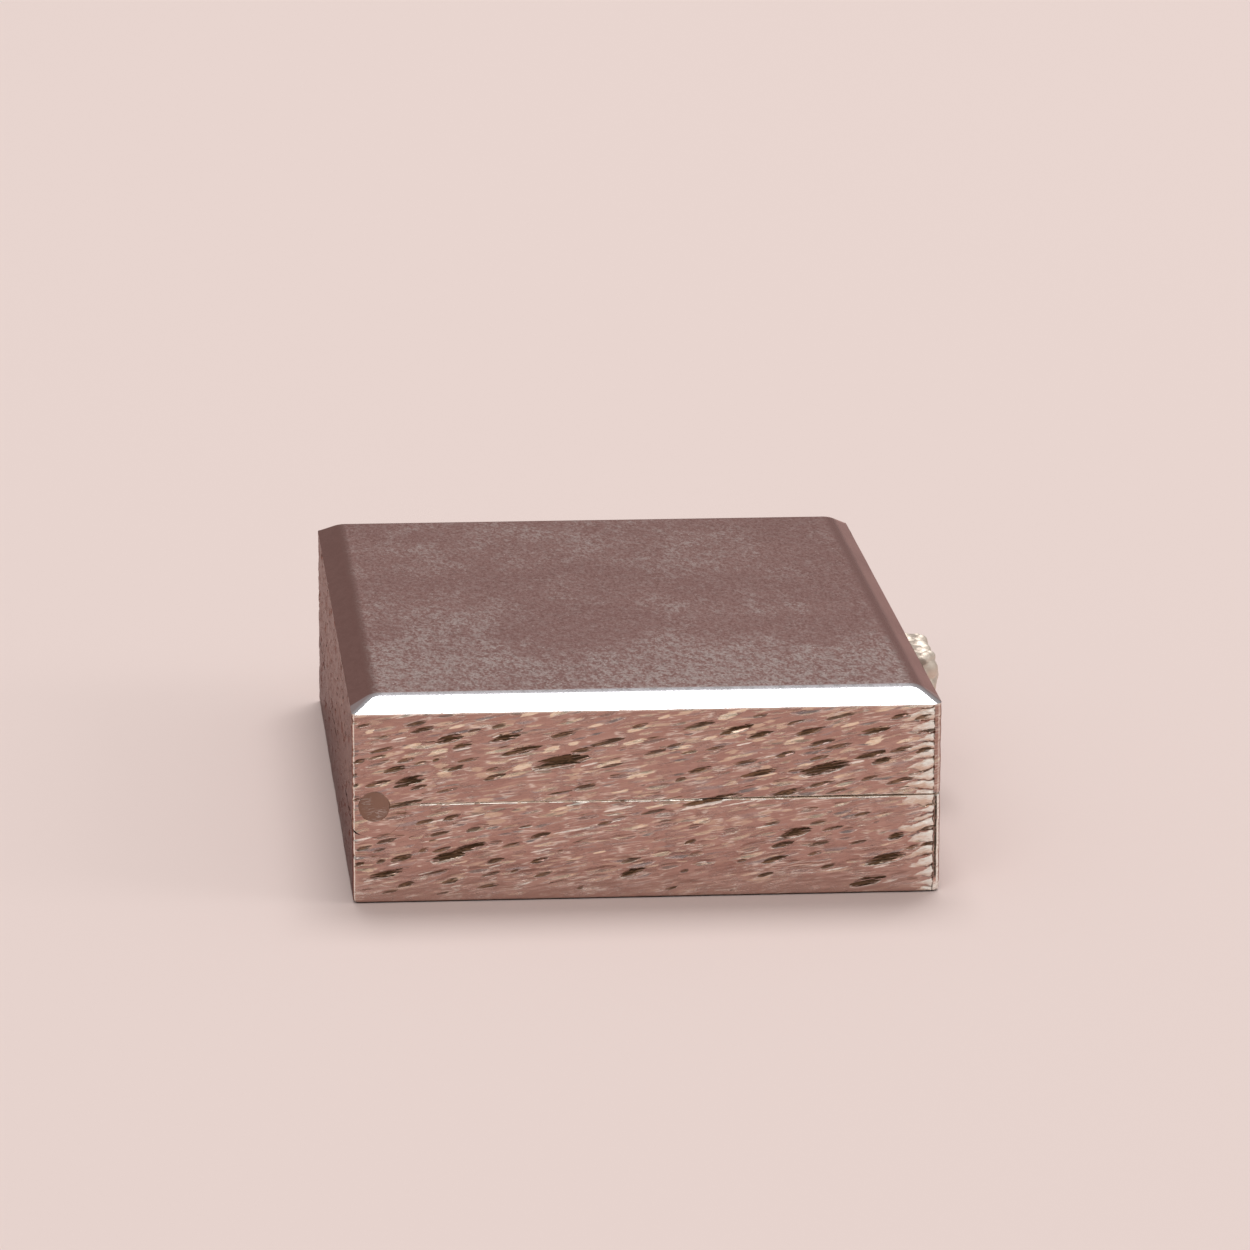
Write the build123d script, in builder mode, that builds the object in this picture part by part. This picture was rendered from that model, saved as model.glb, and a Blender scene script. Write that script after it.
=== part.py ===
from build123d import *
import os

os.makedirs("parts", exist_ok=True)

# A hinged silver case that holds one small box of safety matches. All lengths are millimetres.
# X runs from the hinge side to the thumb side, Y runs along the hinge, Z is up.
# The origin is the middle of the underside.

# Case
case_width = 42.0
case_length = 58.0
wall = 1.2
hinge_corner_radius = 0.4
thumb_corner_radius = 0.7
floor_thickness = 1.0
floor_edge_radius = 0.35

# Parting line: level, a little above the hinge axis
hinge_height = 7.12
parting_lift = 0.08
parting_gap = 0.08

# Lid: its walls are thinner by the closing clearance, so that they pass the inner bezel
closing_clearance = 0.15
lid_wall = wall - closing_clearance
lid_side_height = 6.47
plate_land = 0.15
bevel_drop = 0.95
end_bevel_width = 1.9
side_bevel_width = 1.55
plate_corner_radius = 0.5

# Flush hinge: a thick pin held by the lid's knuckles, which are filed flat with the outer face
pin_radius = 1.14
pin_end_chamfer = 0.06
pin_clearance = 0.03
knuckle_radius = 2.25
knuckle_count = 5
knuckle_side_gap = 0.1
knuckle_clearance = 0.1
hinge_inset = 1.56
bearer_width = 1.3
bearer_reach = 3.4

# Inner bezel, which the lid closes over
bezel_thickness = 0.5
bezel_rise = 2.0
bezel_depth = 3.0
bezel_lead_in = 0.15
bezel_hinge_gap = 0.4

# Thumb piece: a lug covered in lumps like melted grains
thumb_length = 8.4
thumb_reach = 3.4
thumb_height = 3.7
thumb_lift = 0.3
lug_edge_radius = 0.5
lug_inset = 0.55
grain_radius = 1.0
# each grain's place along, up and out as shares of the room there, then its size share
grain_shares = [
    (-1.0, -0.7, 0.86, 0.84),
    (-0.95, 0.55, 0.92, 0.92),
    (-0.62, -0.2, 1.0, 1.0),
    (-0.55, 1.0, 0.86, 0.8),
    (-0.42, -1.0, 0.9, 0.82),
    (-0.2, 0.38, 0.97, 0.95),
    (0.02, -0.55, 0.94, 0.9),
    (0.14, 1.0, 0.88, 0.84),
    (0.36, 0.06, 1.0, 0.98),
    (0.47, -0.96, 0.88, 0.82),
    (0.64, 0.8, 0.93, 0.9),
    (0.83, -0.28, 0.94, 0.96),
    (1.0, 0.5, 0.9, 0.88),
]

# One overrun for all cuts
overrun = 2.0

half_width = case_width / 2
half_length = case_length / 2
hinge_x = -half_width + hinge_inset
base_rim = hinge_height + parting_lift
lid_rim = base_rim + parting_gap
plate_bottom = lid_rim + lid_side_height
case_height = plate_bottom + plate_land + bevel_drop
bezel_top = base_rim + bezel_rise
bezel_bottom = base_rim - bezel_depth
knuckle_zone = case_length / knuckle_count


def keep(piece, name):
    # labels the finished piece and writes its file
    piece.part.label = name
    export_step(piece.part, f"parts/{name}.step")


def case_outline(width, length, hinge_corner, thumb_corner):
    # rectangle whose corners are rounder on the thumb side
    with BuildSketch() as plan:
        Rectangle(width, length)
        fillet(plan.vertices().group_by(Axis.X)[0], hinge_corner)
        fillet(plan.vertices().group_by(Axis.X)[-1], thumb_corner)
    return plan.sketch


def mitre_corners(side, thickness):
    # plan of one wall between its two mitres, run on past the outline
    out_x = half_width + overrun
    out_y = half_length + overrun
    in_x = half_width - thickness
    in_y = half_length - thickness
    return {
        "front": [(-out_x, -out_y), (out_x, -out_y), (in_x, -in_y), (-in_x, -in_y)],
        "back": [(-out_x, out_y), (out_x, out_y), (in_x, in_y), (-in_x, in_y)],
        "hinge": [(-out_x, -out_y), (-out_x, out_y), (-in_x, in_y), (-in_x, -in_y)],
        "thumb": [(out_x, -out_y), (out_x, out_y), (in_x, in_y), (in_x, -in_y)],
    }[side]


def wall_plan(side, thickness):
    # the mitred strip of one wall, with its share of the rounded corners
    with BuildSketch() as plan:
        with BuildLine():
            Polyline(*mitre_corners(side, thickness), close=True)
        make_face()
        add(
            case_outline(case_width, case_length, hinge_corner_radius, thumb_corner_radius),
            mode=Mode.INTERSECT,
        )
    return plan.sketch


def cut_hinge_seat(owner):
    # clears the hinge barrel: close on the owner's own knuckles, with clearance on the others
    for zone in range(knuckle_count):
        own = (zone % 2 == 0) == (owner == "lid")
        radius = knuckle_radius if own else knuckle_radius + knuckle_clearance
        middle = -half_length + (zone + 1 / 2) * knuckle_zone
        with Locations((hinge_x, middle, hinge_height)):
            Cylinder(radius, knuckle_zone, rotation=(90, 0, 0), mode=Mode.SUBTRACT)


def base_side(side):
    with BuildPart() as piece:
        with BuildSketch(Plane.XY.offset(floor_thickness)):
            add(wall_plan(side, wall))
        extrude(amount=base_rim - floor_thickness)
        if side != "thumb":
            cut_hinge_seat("base")
    return piece


def lid_side(side):
    with BuildPart() as piece:
        with BuildSketch(Plane.XY.offset(lid_rim)):
            add(wall_plan(side, lid_wall))
        extrude(amount=lid_side_height)
        if side != "thumb":
            cut_hinge_seat("lid")
    return piece


def hinge_bearer(owner):
    # strip inside the hinge wall that the knuckles are soldered along
    side_wall = wall if owner == "base" else lid_wall
    up = -1 if owner == "base" else 1
    with BuildPart() as piece:
        with Locations(
            (-half_width + side_wall, 0, hinge_height + up * bearer_reach / 2)
        ):
            Box(
                bearer_width,
                case_length - 2 * side_wall,
                bearer_reach,
                align=(Align.MIN, Align.CENTER, Align.CENTER),
            )
        cut_hinge_seat(owner)
    return piece


def knuckle(zone, bore_radius):
    # one length of hinge tube, filed flat where it meets the outer face
    at_front = zone == 0
    at_back = zone == knuckle_count - 1
    near = -half_length + zone * knuckle_zone + (0 if at_front else knuckle_side_gap / 2)
    far = -half_length + (zone + 1) * knuckle_zone - (0 if at_back else knuckle_side_gap / 2)
    with BuildPart() as piece:
        with BuildSketch(Plane.XZ.offset(-far)):
            with Locations((hinge_x, hinge_height)):
                Circle(knuckle_radius)
                Circle(bore_radius, mode=Mode.SUBTRACT)
            with Locations((-half_width, hinge_height)):
                Rectangle(
                    2 * knuckle_radius + hinge_inset,
                    2 * knuckle_radius,
                    align=(Align.MIN, Align.CENTER),
                    mode=Mode.INTERSECT,
                )
        extrude(amount=far - near)
    return piece


def bezel_strip(near_corner, size, lead_in_edges):
    # one strip of the bezel, with a small lead-in along its outer top edge
    with BuildPart() as piece:
        with Locations((*near_corner, bezel_bottom)):
            Box(*size, bezel_rise + bezel_depth, align=(Align.MIN, Align.MIN, Align.MIN))
        chamfer(lead_in_edges(piece), bezel_lead_in)
    return piece


outer_outline = case_outline(
    case_width, case_length, hinge_corner_radius, thumb_corner_radius
)
top_outline = case_outline(
    case_width - 2 * side_bevel_width,
    case_length - 2 * end_bevel_width,
    plate_corner_radius,
    plate_corner_radius,
)

# Base: floor plate and four mitred walls
with BuildPart() as base_floor:
    with BuildSketch():
        add(outer_outline)
    extrude(amount=floor_thickness)
    fillet(base_floor.edges().group_by(Axis.Z)[0], floor_edge_radius)
keep(base_floor, "base_floor")

for side in ("front", "back", "hinge", "thumb"):
    keep(base_side(side), f"base_{side}_wall")

# Lid: four mitred walls and a bevelled top plate
for side in ("front", "back", "hinge", "thumb"):
    keep(lid_side(side), f"lid_{side}_wall")

with BuildPart() as lid_plate:
    with BuildSketch(Plane.XY.offset(plate_bottom)):
        add(outer_outline)
    extrude(amount=plate_land)
    with BuildSketch(Plane.XY.offset(plate_bottom + plate_land)):
        add(outer_outline)
    with BuildSketch(Plane.XY.offset(case_height)):
        add(top_outline)
    loft(ruled=True)
keep(lid_plate, "lid_plate")

# Hinge: a bearer strip on each half, knuckles by turns on the lid and the base, and one pin
keep(hinge_bearer("base"), "base_hinge_bearer")
keep(hinge_bearer("lid"), "lid_hinge_bearer")
for zone in range(knuckle_count):
    if zone % 2 == 0:
        keep(knuckle(zone, pin_radius), f"lid_knuckle_{zone + 1}")
    else:
        keep(knuckle(zone, pin_radius + pin_clearance), f"base_knuckle_{zone + 1}")

with BuildPart() as hinge_pin:
    with Locations((hinge_x, 0, hinge_height)):
        Cylinder(pin_radius, case_length, rotation=(90, 0, 0))
    chamfer(hinge_pin.edges().filter_by(GeomType.CIRCLE), pin_end_chamfer)
keep(hinge_pin, "hinge_pin")

# Bezel: three strips inside the base, standing up into the lid
bezel_x = hinge_x + knuckle_radius + bezel_hinge_gap
bezel_run = half_width - wall - bezel_thickness - bezel_x
inner_y = half_length - wall
keep(
    bezel_strip(
        (bezel_x, -inner_y),
        (bezel_run, bezel_thickness),
        lambda piece: piece.edges().group_by(Axis.Z)[-1].filter_by(Axis.X).sort_by(Axis.Y)[0],
    ),
    "bezel_front_strip",
)
keep(
    bezel_strip(
        (bezel_x, inner_y - bezel_thickness),
        (bezel_run, bezel_thickness),
        lambda piece: piece.edges().group_by(Axis.Z)[-1].filter_by(Axis.X).sort_by(Axis.Y)[-1],
    ),
    "bezel_back_strip",
)
keep(
    bezel_strip(
        (half_width - wall - bezel_thickness, -inner_y),
        (bezel_thickness, 2 * inner_y),
        lambda piece: piece.edges().group_by(Axis.Z)[-1].filter_by(Axis.Y).sort_by(Axis.X)[-1],
    ),
    "bezel_thumb_strip",
)

# Thumb piece: rounded lug with grains over its face, soldered to the lid's thumb wall
thumb_middle = base_rim + thumb_lift + thumb_height / 2
with BuildPart() as thumb_piece:
    with Locations((half_width, 0, thumb_middle)):
        Box(
            thumb_reach - grain_radius,
            thumb_length - lug_inset,
            thumb_height - lug_inset,
            align=(Align.MIN, Align.CENTER, Align.CENTER),
        )
    fillet(thumb_piece.faces().sort_by(Axis.X)[-1].edges(), lug_edge_radius)
    for along_share, up_share, out_share, size_share in grain_shares:
        radius = grain_radius * size_share
        place = (
            half_width + (thumb_reach - radius) * out_share,
            along_share * (thumb_length / 2 - radius),
            thumb_middle + up_share * (thumb_height / 2 - radius),
        )
        with Locations(place):
            Sphere(radius, rotation=(0, 90, 0))
keep(thumb_piece, "thumb_piece")

print("outer size", case_width, case_length, round(case_height, 2))
clear_width = half_width - wall - bezel_thickness - (hinge_x + knuckle_radius)
clear_length = case_length - 2 * (wall + bezel_thickness)
clear_height = plate_bottom - floor_thickness
print("room for the matchbox", round(clear_width, 2), round(clear_length, 2), round(clear_height, 2))
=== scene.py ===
import math

import bmesh
import bpy
import numpy as np
from mathutils import Matrix, Vector


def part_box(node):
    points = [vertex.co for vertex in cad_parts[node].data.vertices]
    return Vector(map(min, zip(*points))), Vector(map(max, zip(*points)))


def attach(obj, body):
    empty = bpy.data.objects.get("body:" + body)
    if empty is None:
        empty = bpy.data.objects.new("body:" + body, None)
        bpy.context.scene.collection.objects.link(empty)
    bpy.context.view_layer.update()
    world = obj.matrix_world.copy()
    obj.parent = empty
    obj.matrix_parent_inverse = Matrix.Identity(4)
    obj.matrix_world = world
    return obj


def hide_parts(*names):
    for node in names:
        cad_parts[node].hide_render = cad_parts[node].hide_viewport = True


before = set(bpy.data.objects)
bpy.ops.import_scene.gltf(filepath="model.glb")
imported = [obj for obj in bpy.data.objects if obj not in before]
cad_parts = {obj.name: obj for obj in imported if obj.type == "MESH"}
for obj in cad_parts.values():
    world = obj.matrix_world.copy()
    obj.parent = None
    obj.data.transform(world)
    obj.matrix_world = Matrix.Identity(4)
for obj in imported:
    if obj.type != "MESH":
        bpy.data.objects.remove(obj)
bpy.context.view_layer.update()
mm = 0.001

# Sizes of the case in millimetres, read from the frame where a node shows them
floorHigh = np.array(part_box("base_floor")[1]) / mm
plateLow, plateHigh = [np.array(c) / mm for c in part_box("lid_plate")]
pinLow, pinHigh = [np.array(c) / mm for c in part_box("hinge_pin")]
case = {
    "halfX": floorHigh[0],
    "halfY": floorHigh[1],
    "floorTop": floorHigh[2],
    "plateBottom": plateLow[2],
    "top": plateHigh[2],
    "hingeX": (pinLow[0] + pinHigh[0]) / 2,
    "hingeZ": (pinLow[2] + pinHigh[2]) / 2,
    "pinRadius": (pinHigh[2] - pinLow[2]) / 2,
    "pinBevel": 0.045,
    "hingeCorner": 0.4,
    "thumbCorner": 0.7,
    "baseWall": 1.2,
    "lidWall": 1.05,
    "edgeRound": 0.35,
    "plateLand": 0.15,
    "baseRim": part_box("base_thumb_wall")[1][2] / mm,
    "rimRound": 0.07,
    "barrel": 2.25,
    "barrelClear": 2.262,
    "swingClear": 2.35,
    "zones": 5,
    "zoneGap": 0.05,
}
sideTop = case["plateBottom"] + case["plateLand"]
print("frame loaded, case", [round(v, 2) for v in (2 * case["halfX"], 2 * case["halfY"], case["top"])])


# Path round the outside of the case. Place 0 is the middle of the front, and it grows to the thumb side.
def outlineAt(place, inset=0.0):
    place = np.asarray(place, float)
    hx, hy = case["halfX"], case["halfY"]
    rt, rh = case["thumbCorner"], case["hingeCorner"]
    quarter = math.pi / 2
    runs = [
        ("line", 2 * (hy - rh), (-hx, hy - rh), (0, -1)),
        ("arc", rh, (-hx + rh, -hy + rh), quarter * 2),
        ("line", 2 * hx - rh - rt, (-hx + rh, -hy), (1, 0)),
        ("arc", rt, (hx - rt, -hy + rt), -quarter),
        ("line", 2 * (hy - rt), (hx, -hy + rt), (0, 1)),
        ("arc", rt, (hx - rt, hy - rt), 0.0),
        ("line", 2 * hx - rh - rt, (hx - rt, hy), (-1, 0)),
        ("arc", rh, (-hx + rh, hy - rh), quarter),
        ("line", 2 * (hy - rh), (-hx, hy - rh), (0, -1)),
    ]
    start = -(hx - rh) - quarter * rh - 2 * (hy - rh)
    xy = np.zeros(place.shape + (2,))
    out = np.zeros(place.shape + (2,))
    for kind, size, at, turn in runs:
        length = size if kind == "line" else quarter * size
        here = (place >= start - 1e-9) & (place <= start + length + 1e-9)
        along = place[here] - start
        if kind == "line":
            out[here] = (turn[1], -turn[0])
            xy[here] = np.array(at) + along[:, None] * np.array(turn)
        else:
            angle = turn + along / size
            out[here] = np.stack([np.cos(angle), np.sin(angle)], -1)
            xy[here] = np.array(at) + size * out[here]
        start += length
    return xy - out * np.asarray(inset)[..., None], out


# Where the runs of that path begin and end, and the middles of its corners
cornerRun = math.pi / 2 * case["hingeCorner"]
thumbRun = math.pi / 2 * case["thumbCorner"]
hingeStart = -(case["halfX"] - case["hingeCorner"]) - cornerRun
thumbStart = case["halfX"] - case["thumbCorner"] + thumbRun
thumbEnd = thumbStart + 2 * (case["halfY"] - case["thumbCorner"])
backMiddle = thumbEnd + thumbRun + case["halfX"] - case["thumbCorner"]
backEnd = backMiddle + case["halfX"] - case["hingeCorner"]
hingeCorners = [hingeStart + cornerRun / 2, backEnd + cornerRun / 2]
thumbCorners = [thumbStart - thumbRun / 2, thumbEnd + thumbRun / 2]


def placeOnHinge(y):
    return hingeStart - (np.asarray(y) + case["halfY"] - case["hingeCorner"])


def placeOnThumb(y):
    return thumbStart + np.asarray(y) + case["halfY"] - case["thumbCorner"]


def fade(value, start, end):
    # 0 at the start, 1 at the end and even between them
    return np.clip((value - start) / (end - start), 0, 1)


def fromHinge(xyz):
    return np.hypot(xyz[..., 0] - case["hingeX"], xyz[..., 2] - case["hingeZ"])


# The parting line: places across the case, how far the rim stands off its mean height there, and the gap
parting = {
    "places": [-21.0, -16.0, -9.0, 1.0, 9.0, 14.0, 21.0],
    "wander": [0.02, 0.03, 0.06, 0.0, -0.02, -0.03, -0.01],
    "gap": [0.03, 0.02, 0.012, 0.012, 0.09, 0.12, 0.09],
}


def partingAt(x):
    return case["baseRim"] + np.interp(x, parting["places"], parting["wander"])


def lidEdgeAt(x):
    return partingAt(x) + np.interp(x, parting["places"], parting["gap"])


def steps(low, high, spacing):
    return np.linspace(low, high, max(2, int(round(abs(high - low) / spacing)) + 1))


def spaced(marks, spacing):
    # even steps that still pass through every mark
    rows = [steps(a, b, spacing)[:-1] for a, b in zip(marks, marks[1:])]
    return np.concatenate(rows + [[marks[-1]]])


# Strokes cut into the sides
strokes = {
    "tilt": math.radians(9.0),
    "depth": 0.06,
    "bigDepth": 0.13,
    "footLow": 0.3,
    "footHigh": 2.2,
    "footGain": 0.12,
    "cornerGain": 0.8,
    "cornerReach": 1.5,
    "hingeReach": 0.6,
    "ridgePlace": 0.38,
    "stripStart": (-0.05, 0.1),
    "stripEnd": (2.2, 1.4),
    "stripLoss": 0.9,
    "lipDepth": 0.13,
    "edgeFade": 0.1,
    "edgeLoss": 0.6,
    "finePlace": 0.062,
    "coarsePlace": 0.11,
    "frontHalf": 21.5,
}


def pastRidge(place):
    # how far a place lies past the ridge where an end face meets the thumb side's rounded corner
    near, far = place - thumbCorners[0], thumbCorners[1] - place
    return np.where(np.abs(near) < np.abs(far), near, far) + strokes["ridgePlace"]


def depthGainAt(place, height):
    # how deep the strokes go: less near the foot, more on the corners, little on the strip past the ridge
    gain = np.maximum(fade(height, strokes["footLow"], strokes["footHigh"]), strokes["footGain"])
    offCorners = [(place - middle) / strokes["hingeReach"] for middle in hingeCorners]
    onHingeCorner = sum(np.exp(-(off ** 2)) for off in offCorners)
    across = pastRidge(place)
    onFace = np.exp(-((across / strokes["cornerReach"]) ** 2)) * (across < 0)
    onStrip = fade(across, *strokes["stripStart"]) * fade(across, *strokes["stripEnd"])
    gain = gain * (1 + strokes["cornerGain"] * (onFace + onHingeCorner))
    return gain * (1 - strokes["stripLoss"] * onStrip)


class Skin:
    # a sheet of the outside: places round the case by rows of heights, some cells left out
    def __init__(self, places, heights, insets):
        self.places = places + 0.0
        self.heights = heights + 0.0
        self.insets = insets + 0.0
        self.keep = np.ones((places.shape[0] - 1, places.shape[1] - 1), bool)

    def points(self):
        xy, out = outlineAt(self.places, self.insets)
        xyz = np.concatenate([xy, self.heights[..., None]], -1)
        return xyz, np.concatenate([out, 0 * self.heights[..., None]], -1)

    def cellMiddles(self):
        xyz, _ = self.points()
        return (xyz[:-1, :-1] + xyz[1:, :-1] + xyz[:-1, 1:] + xyz[1:, 1:]) / 4

    def onEdgeOfCut(self):
        # points that touch both a kept cell and a dropped one
        kept = np.zeros(self.places.shape, bool)
        dropped = np.zeros(self.places.shape, bool)
        for j in (0, 1):
            for i in (0, 1):
                rows = slice(j, j + self.keep.shape[0])
                cols = slice(i, i + self.keep.shape[1])
                kept[rows, cols] |= self.keep
                dropped[rows, cols] |= ~self.keep
        return kept & dropped

    def snapToCircle(self, near, radius):
        # moves the points in near onto a circle round the hinge axis
        xyz, _ = self.points()
        dx = xyz[..., 0] - case["hingeX"]
        dz = xyz[..., 2] - case["hingeZ"]
        steep = near & (np.abs(dz) > 0.7 * np.abs(dx))
        side = near & ~steep
        reach = np.sqrt(np.maximum(radius ** 2 - dx ** 2, 0))
        self.heights[steep] = (case["hingeZ"] + np.sign(dz) * reach)[steep]
        reach = np.sqrt(np.maximum(radius ** 2 - dz ** 2, 0))
        shift = case["hingeX"] + np.sign(dx) * reach - xyz[..., 0]
        front = xyz[..., 1] < 0
        self.places[side] += np.where(front, shift, -shift)[side]


def fillInner(bm, edges):
    # closes a flat outline, or an outline with one hole, with large flat faces
    left = {v for e in edges for v in e.verts}
    nextTo = {v: [e.other_vert(v) for e in v.link_edges if e in edges] for v in left}
    loops = []
    while left:
        first = next(iter(left))
        loop = [first]
        left.discard(first)
        while True:
            onward = [v for v in nextTo[loop[-1]] if v in left]
            if not onward:
                break
            loop.append(onward[0])
            left.discard(onward[0])
        loops.append(loop)
    loops.sort(key=len, reverse=True)
    if len(loops) == 1:
        bm.faces.new(loops[0])
        return
    outer, hole = loops

    def turning(loop):
        return sum(a.co.x * b.co.z - b.co.x * a.co.z for a, b in zip(loop, loop[1:] + loop[:1]))

    if turning(outer) * turning(hole) < 0:
        hole.reverse()
    low = min(range(len(hole)), key=lambda k: hole[k].co.x)
    high = max(range(len(hole)), key=lambda k: hole[k].co.x)
    ends = [min(range(len(outer)), key=lambda k: (outer[k].co - hole[h].co).length) for h in (low, high)]

    def stretch(loop, a, b):
        return loop[a : b + 1] if a <= b else loop[a:] + loop[: b + 1]

    for a, b in ((0, 1), (1, 0)):
        inner = (low, high)
        bm.faces.new(stretch(outer, ends[a], ends[b]) + stretch(hole, inner[a], inner[b])[::-1])


def addObject(name, mesh):
    piece = bpy.data.objects.new(name, mesh)
    bpy.context.collection.objects.link(piece)
    return piece


def toMesh(name, bm):
    mesh = bpy.data.meshes.new(name)
    bm.to_mesh(mesh)
    bm.free()
    return mesh


def solid(name, points, faces, openEdges=()):
    # closed mesh from points in millimetres; one side may be given by its open edges alone
    bm = bmesh.new()
    verts = [bm.verts.new(point * mm) for point in points]
    for face in faces:
        bm.faces.new([verts[v] for v in face])
    edges = set()
    for h, t in openEdges:
        edges.add(bm.edges.get((verts[h], verts[t])) or bm.edges.new((verts[h], verts[t])))
    if edges:
        fillInner(bm, edges)
    bmesh.ops.recalc_face_normals(bm, faces=bm.faces)
    loose = sum(1 for edge in bm.edges if len(edge.link_faces) != 2)
    print(name, len(bm.faces), "faces, open edges", loose)
    return toMesh(name, bm)


def quadsBetween(low, high):
    # faces between two closed rings of point numbers
    return [(a, b, d, c) for a, b, c, d in zip(low, low[1:] + low[:1], high, high[1:] + high[:1])]


def writeValues(mesh, **layers):
    for name, values in layers.items():
        values = np.asarray(values, np.float32)
        kind, key = ("FLOAT", "value") if values.ndim == 1 else ("FLOAT_VECTOR", "vector")
        mesh.attributes.new(name, kind, "POINT").data.foreach_set(key, values.ravel())


def writeSkin(mesh, onSkin, outward, place, wear):
    # what the strokes and the material need at each point; place is the one round the case, then the height
    gain = depthGainAt(place[:, 0], place[:, 1]) * (1 - strokes["edgeLoss"] * wear)
    past = np.where(onSkin > 0.5, pastRidge(place[:, 0]), -9.0)
    writeValues(mesh, onSkin=onSkin, outward=outward, wallPlace=place)
    writeValues(mesh, depthGain=gain, wear=wear, pastRidge=past)


touching = 1e-6  # points closer than this are one


def closeSkin(name, skin, innerAt, edgeAt):
    # turns a skin into a closed wall: the skin, its rims and a flat inner face
    xyz, out = skin.points()
    rows, cols = skin.places.shape
    number = np.arange(rows * cols).reshape(rows, cols)
    a, b = number[:-1, :-1][skin.keep], number[:-1, 1:][skin.keep]
    c, d = number[1:, 1:][skin.keep], number[1:, :-1][skin.keep]
    downward = skin.heights[-1, cols // 2] < skin.heights[0, cols // 2]
    quads = np.stack([b, a, d, c] if downward else [a, b, c, d], -1)
    used = np.unique(quads)
    newNumber = -np.ones(rows * cols, int)
    newNumber[used] = np.arange(len(used))
    quads = newNumber[quads]
    forward = set(zip(quads.reshape(-1).tolist(), np.roll(quads, -1, axis=1).reshape(-1).tolist()))
    rim = [(h, t) for h, t in forward if (t, h) not in forward]

    # the rim's points get partners on the inner face, unless they lie on it already
    points = xyz.reshape(-1, 3)[used]
    inner = innerAt(skin.places, xyz).reshape(-1, 3)[used]
    shared = np.linalg.norm(inner - points, axis=1) < touching
    partner = {}
    extra = []
    for n in sorted({h for h, _ in rim}):
        partner[n] = n if shared[n] else len(points) + len(extra)
        if not shared[n]:
            extra.append(inner[n])
    faces = quads.tolist()
    for h, t in rim:
        loop = [t, h, partner[h], partner[t]]
        loop = [v for k, v in enumerate(loop) if v not in loop[:k]]
        if len(loop) > 2:
            faces.append(loop)
    openEdges = [(partner[h], partner[t]) for h, t in rim]
    mesh = solid(name, np.concatenate([points, np.array(extra)]), faces, openEdges)

    def padded(values):
        # the inner face's points have zeros
        return np.concatenate([values, np.zeros((len(extra),) + values.shape[1:])])

    onWall = np.stack([skin.places, skin.heights - skin.insets, 0 * skin.places], -1).reshape(-1, 3)[used]
    wear = 1 - fade(edgeAt(skin.places, xyz).reshape(-1)[used], 0, strokes["edgeFade"])
    outward = out.reshape(-1, 3)[used]
    writeSkin(mesh, padded(np.ones(len(points))), padded(outward), padded(onWall), padded(wear))
    return addObject(name, mesh)


def footCurve():
    # heights and insets of the rounded foot, from the straight side down
    turns = np.linspace(0, math.pi / 2, 6)[1:, None]
    return case["edgeRound"] * (1 - np.sin(turns)), case["edgeRound"] * (1 - np.cos(turns))


# The two end walls of each half. They take in both corners, and the lid's carry the ear round the pin.
endFace = {"hingeStrip": 0.3, "thumbStrip": 1.4, "seatStart": 0.25, "seatEnd": 0.6}


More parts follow.
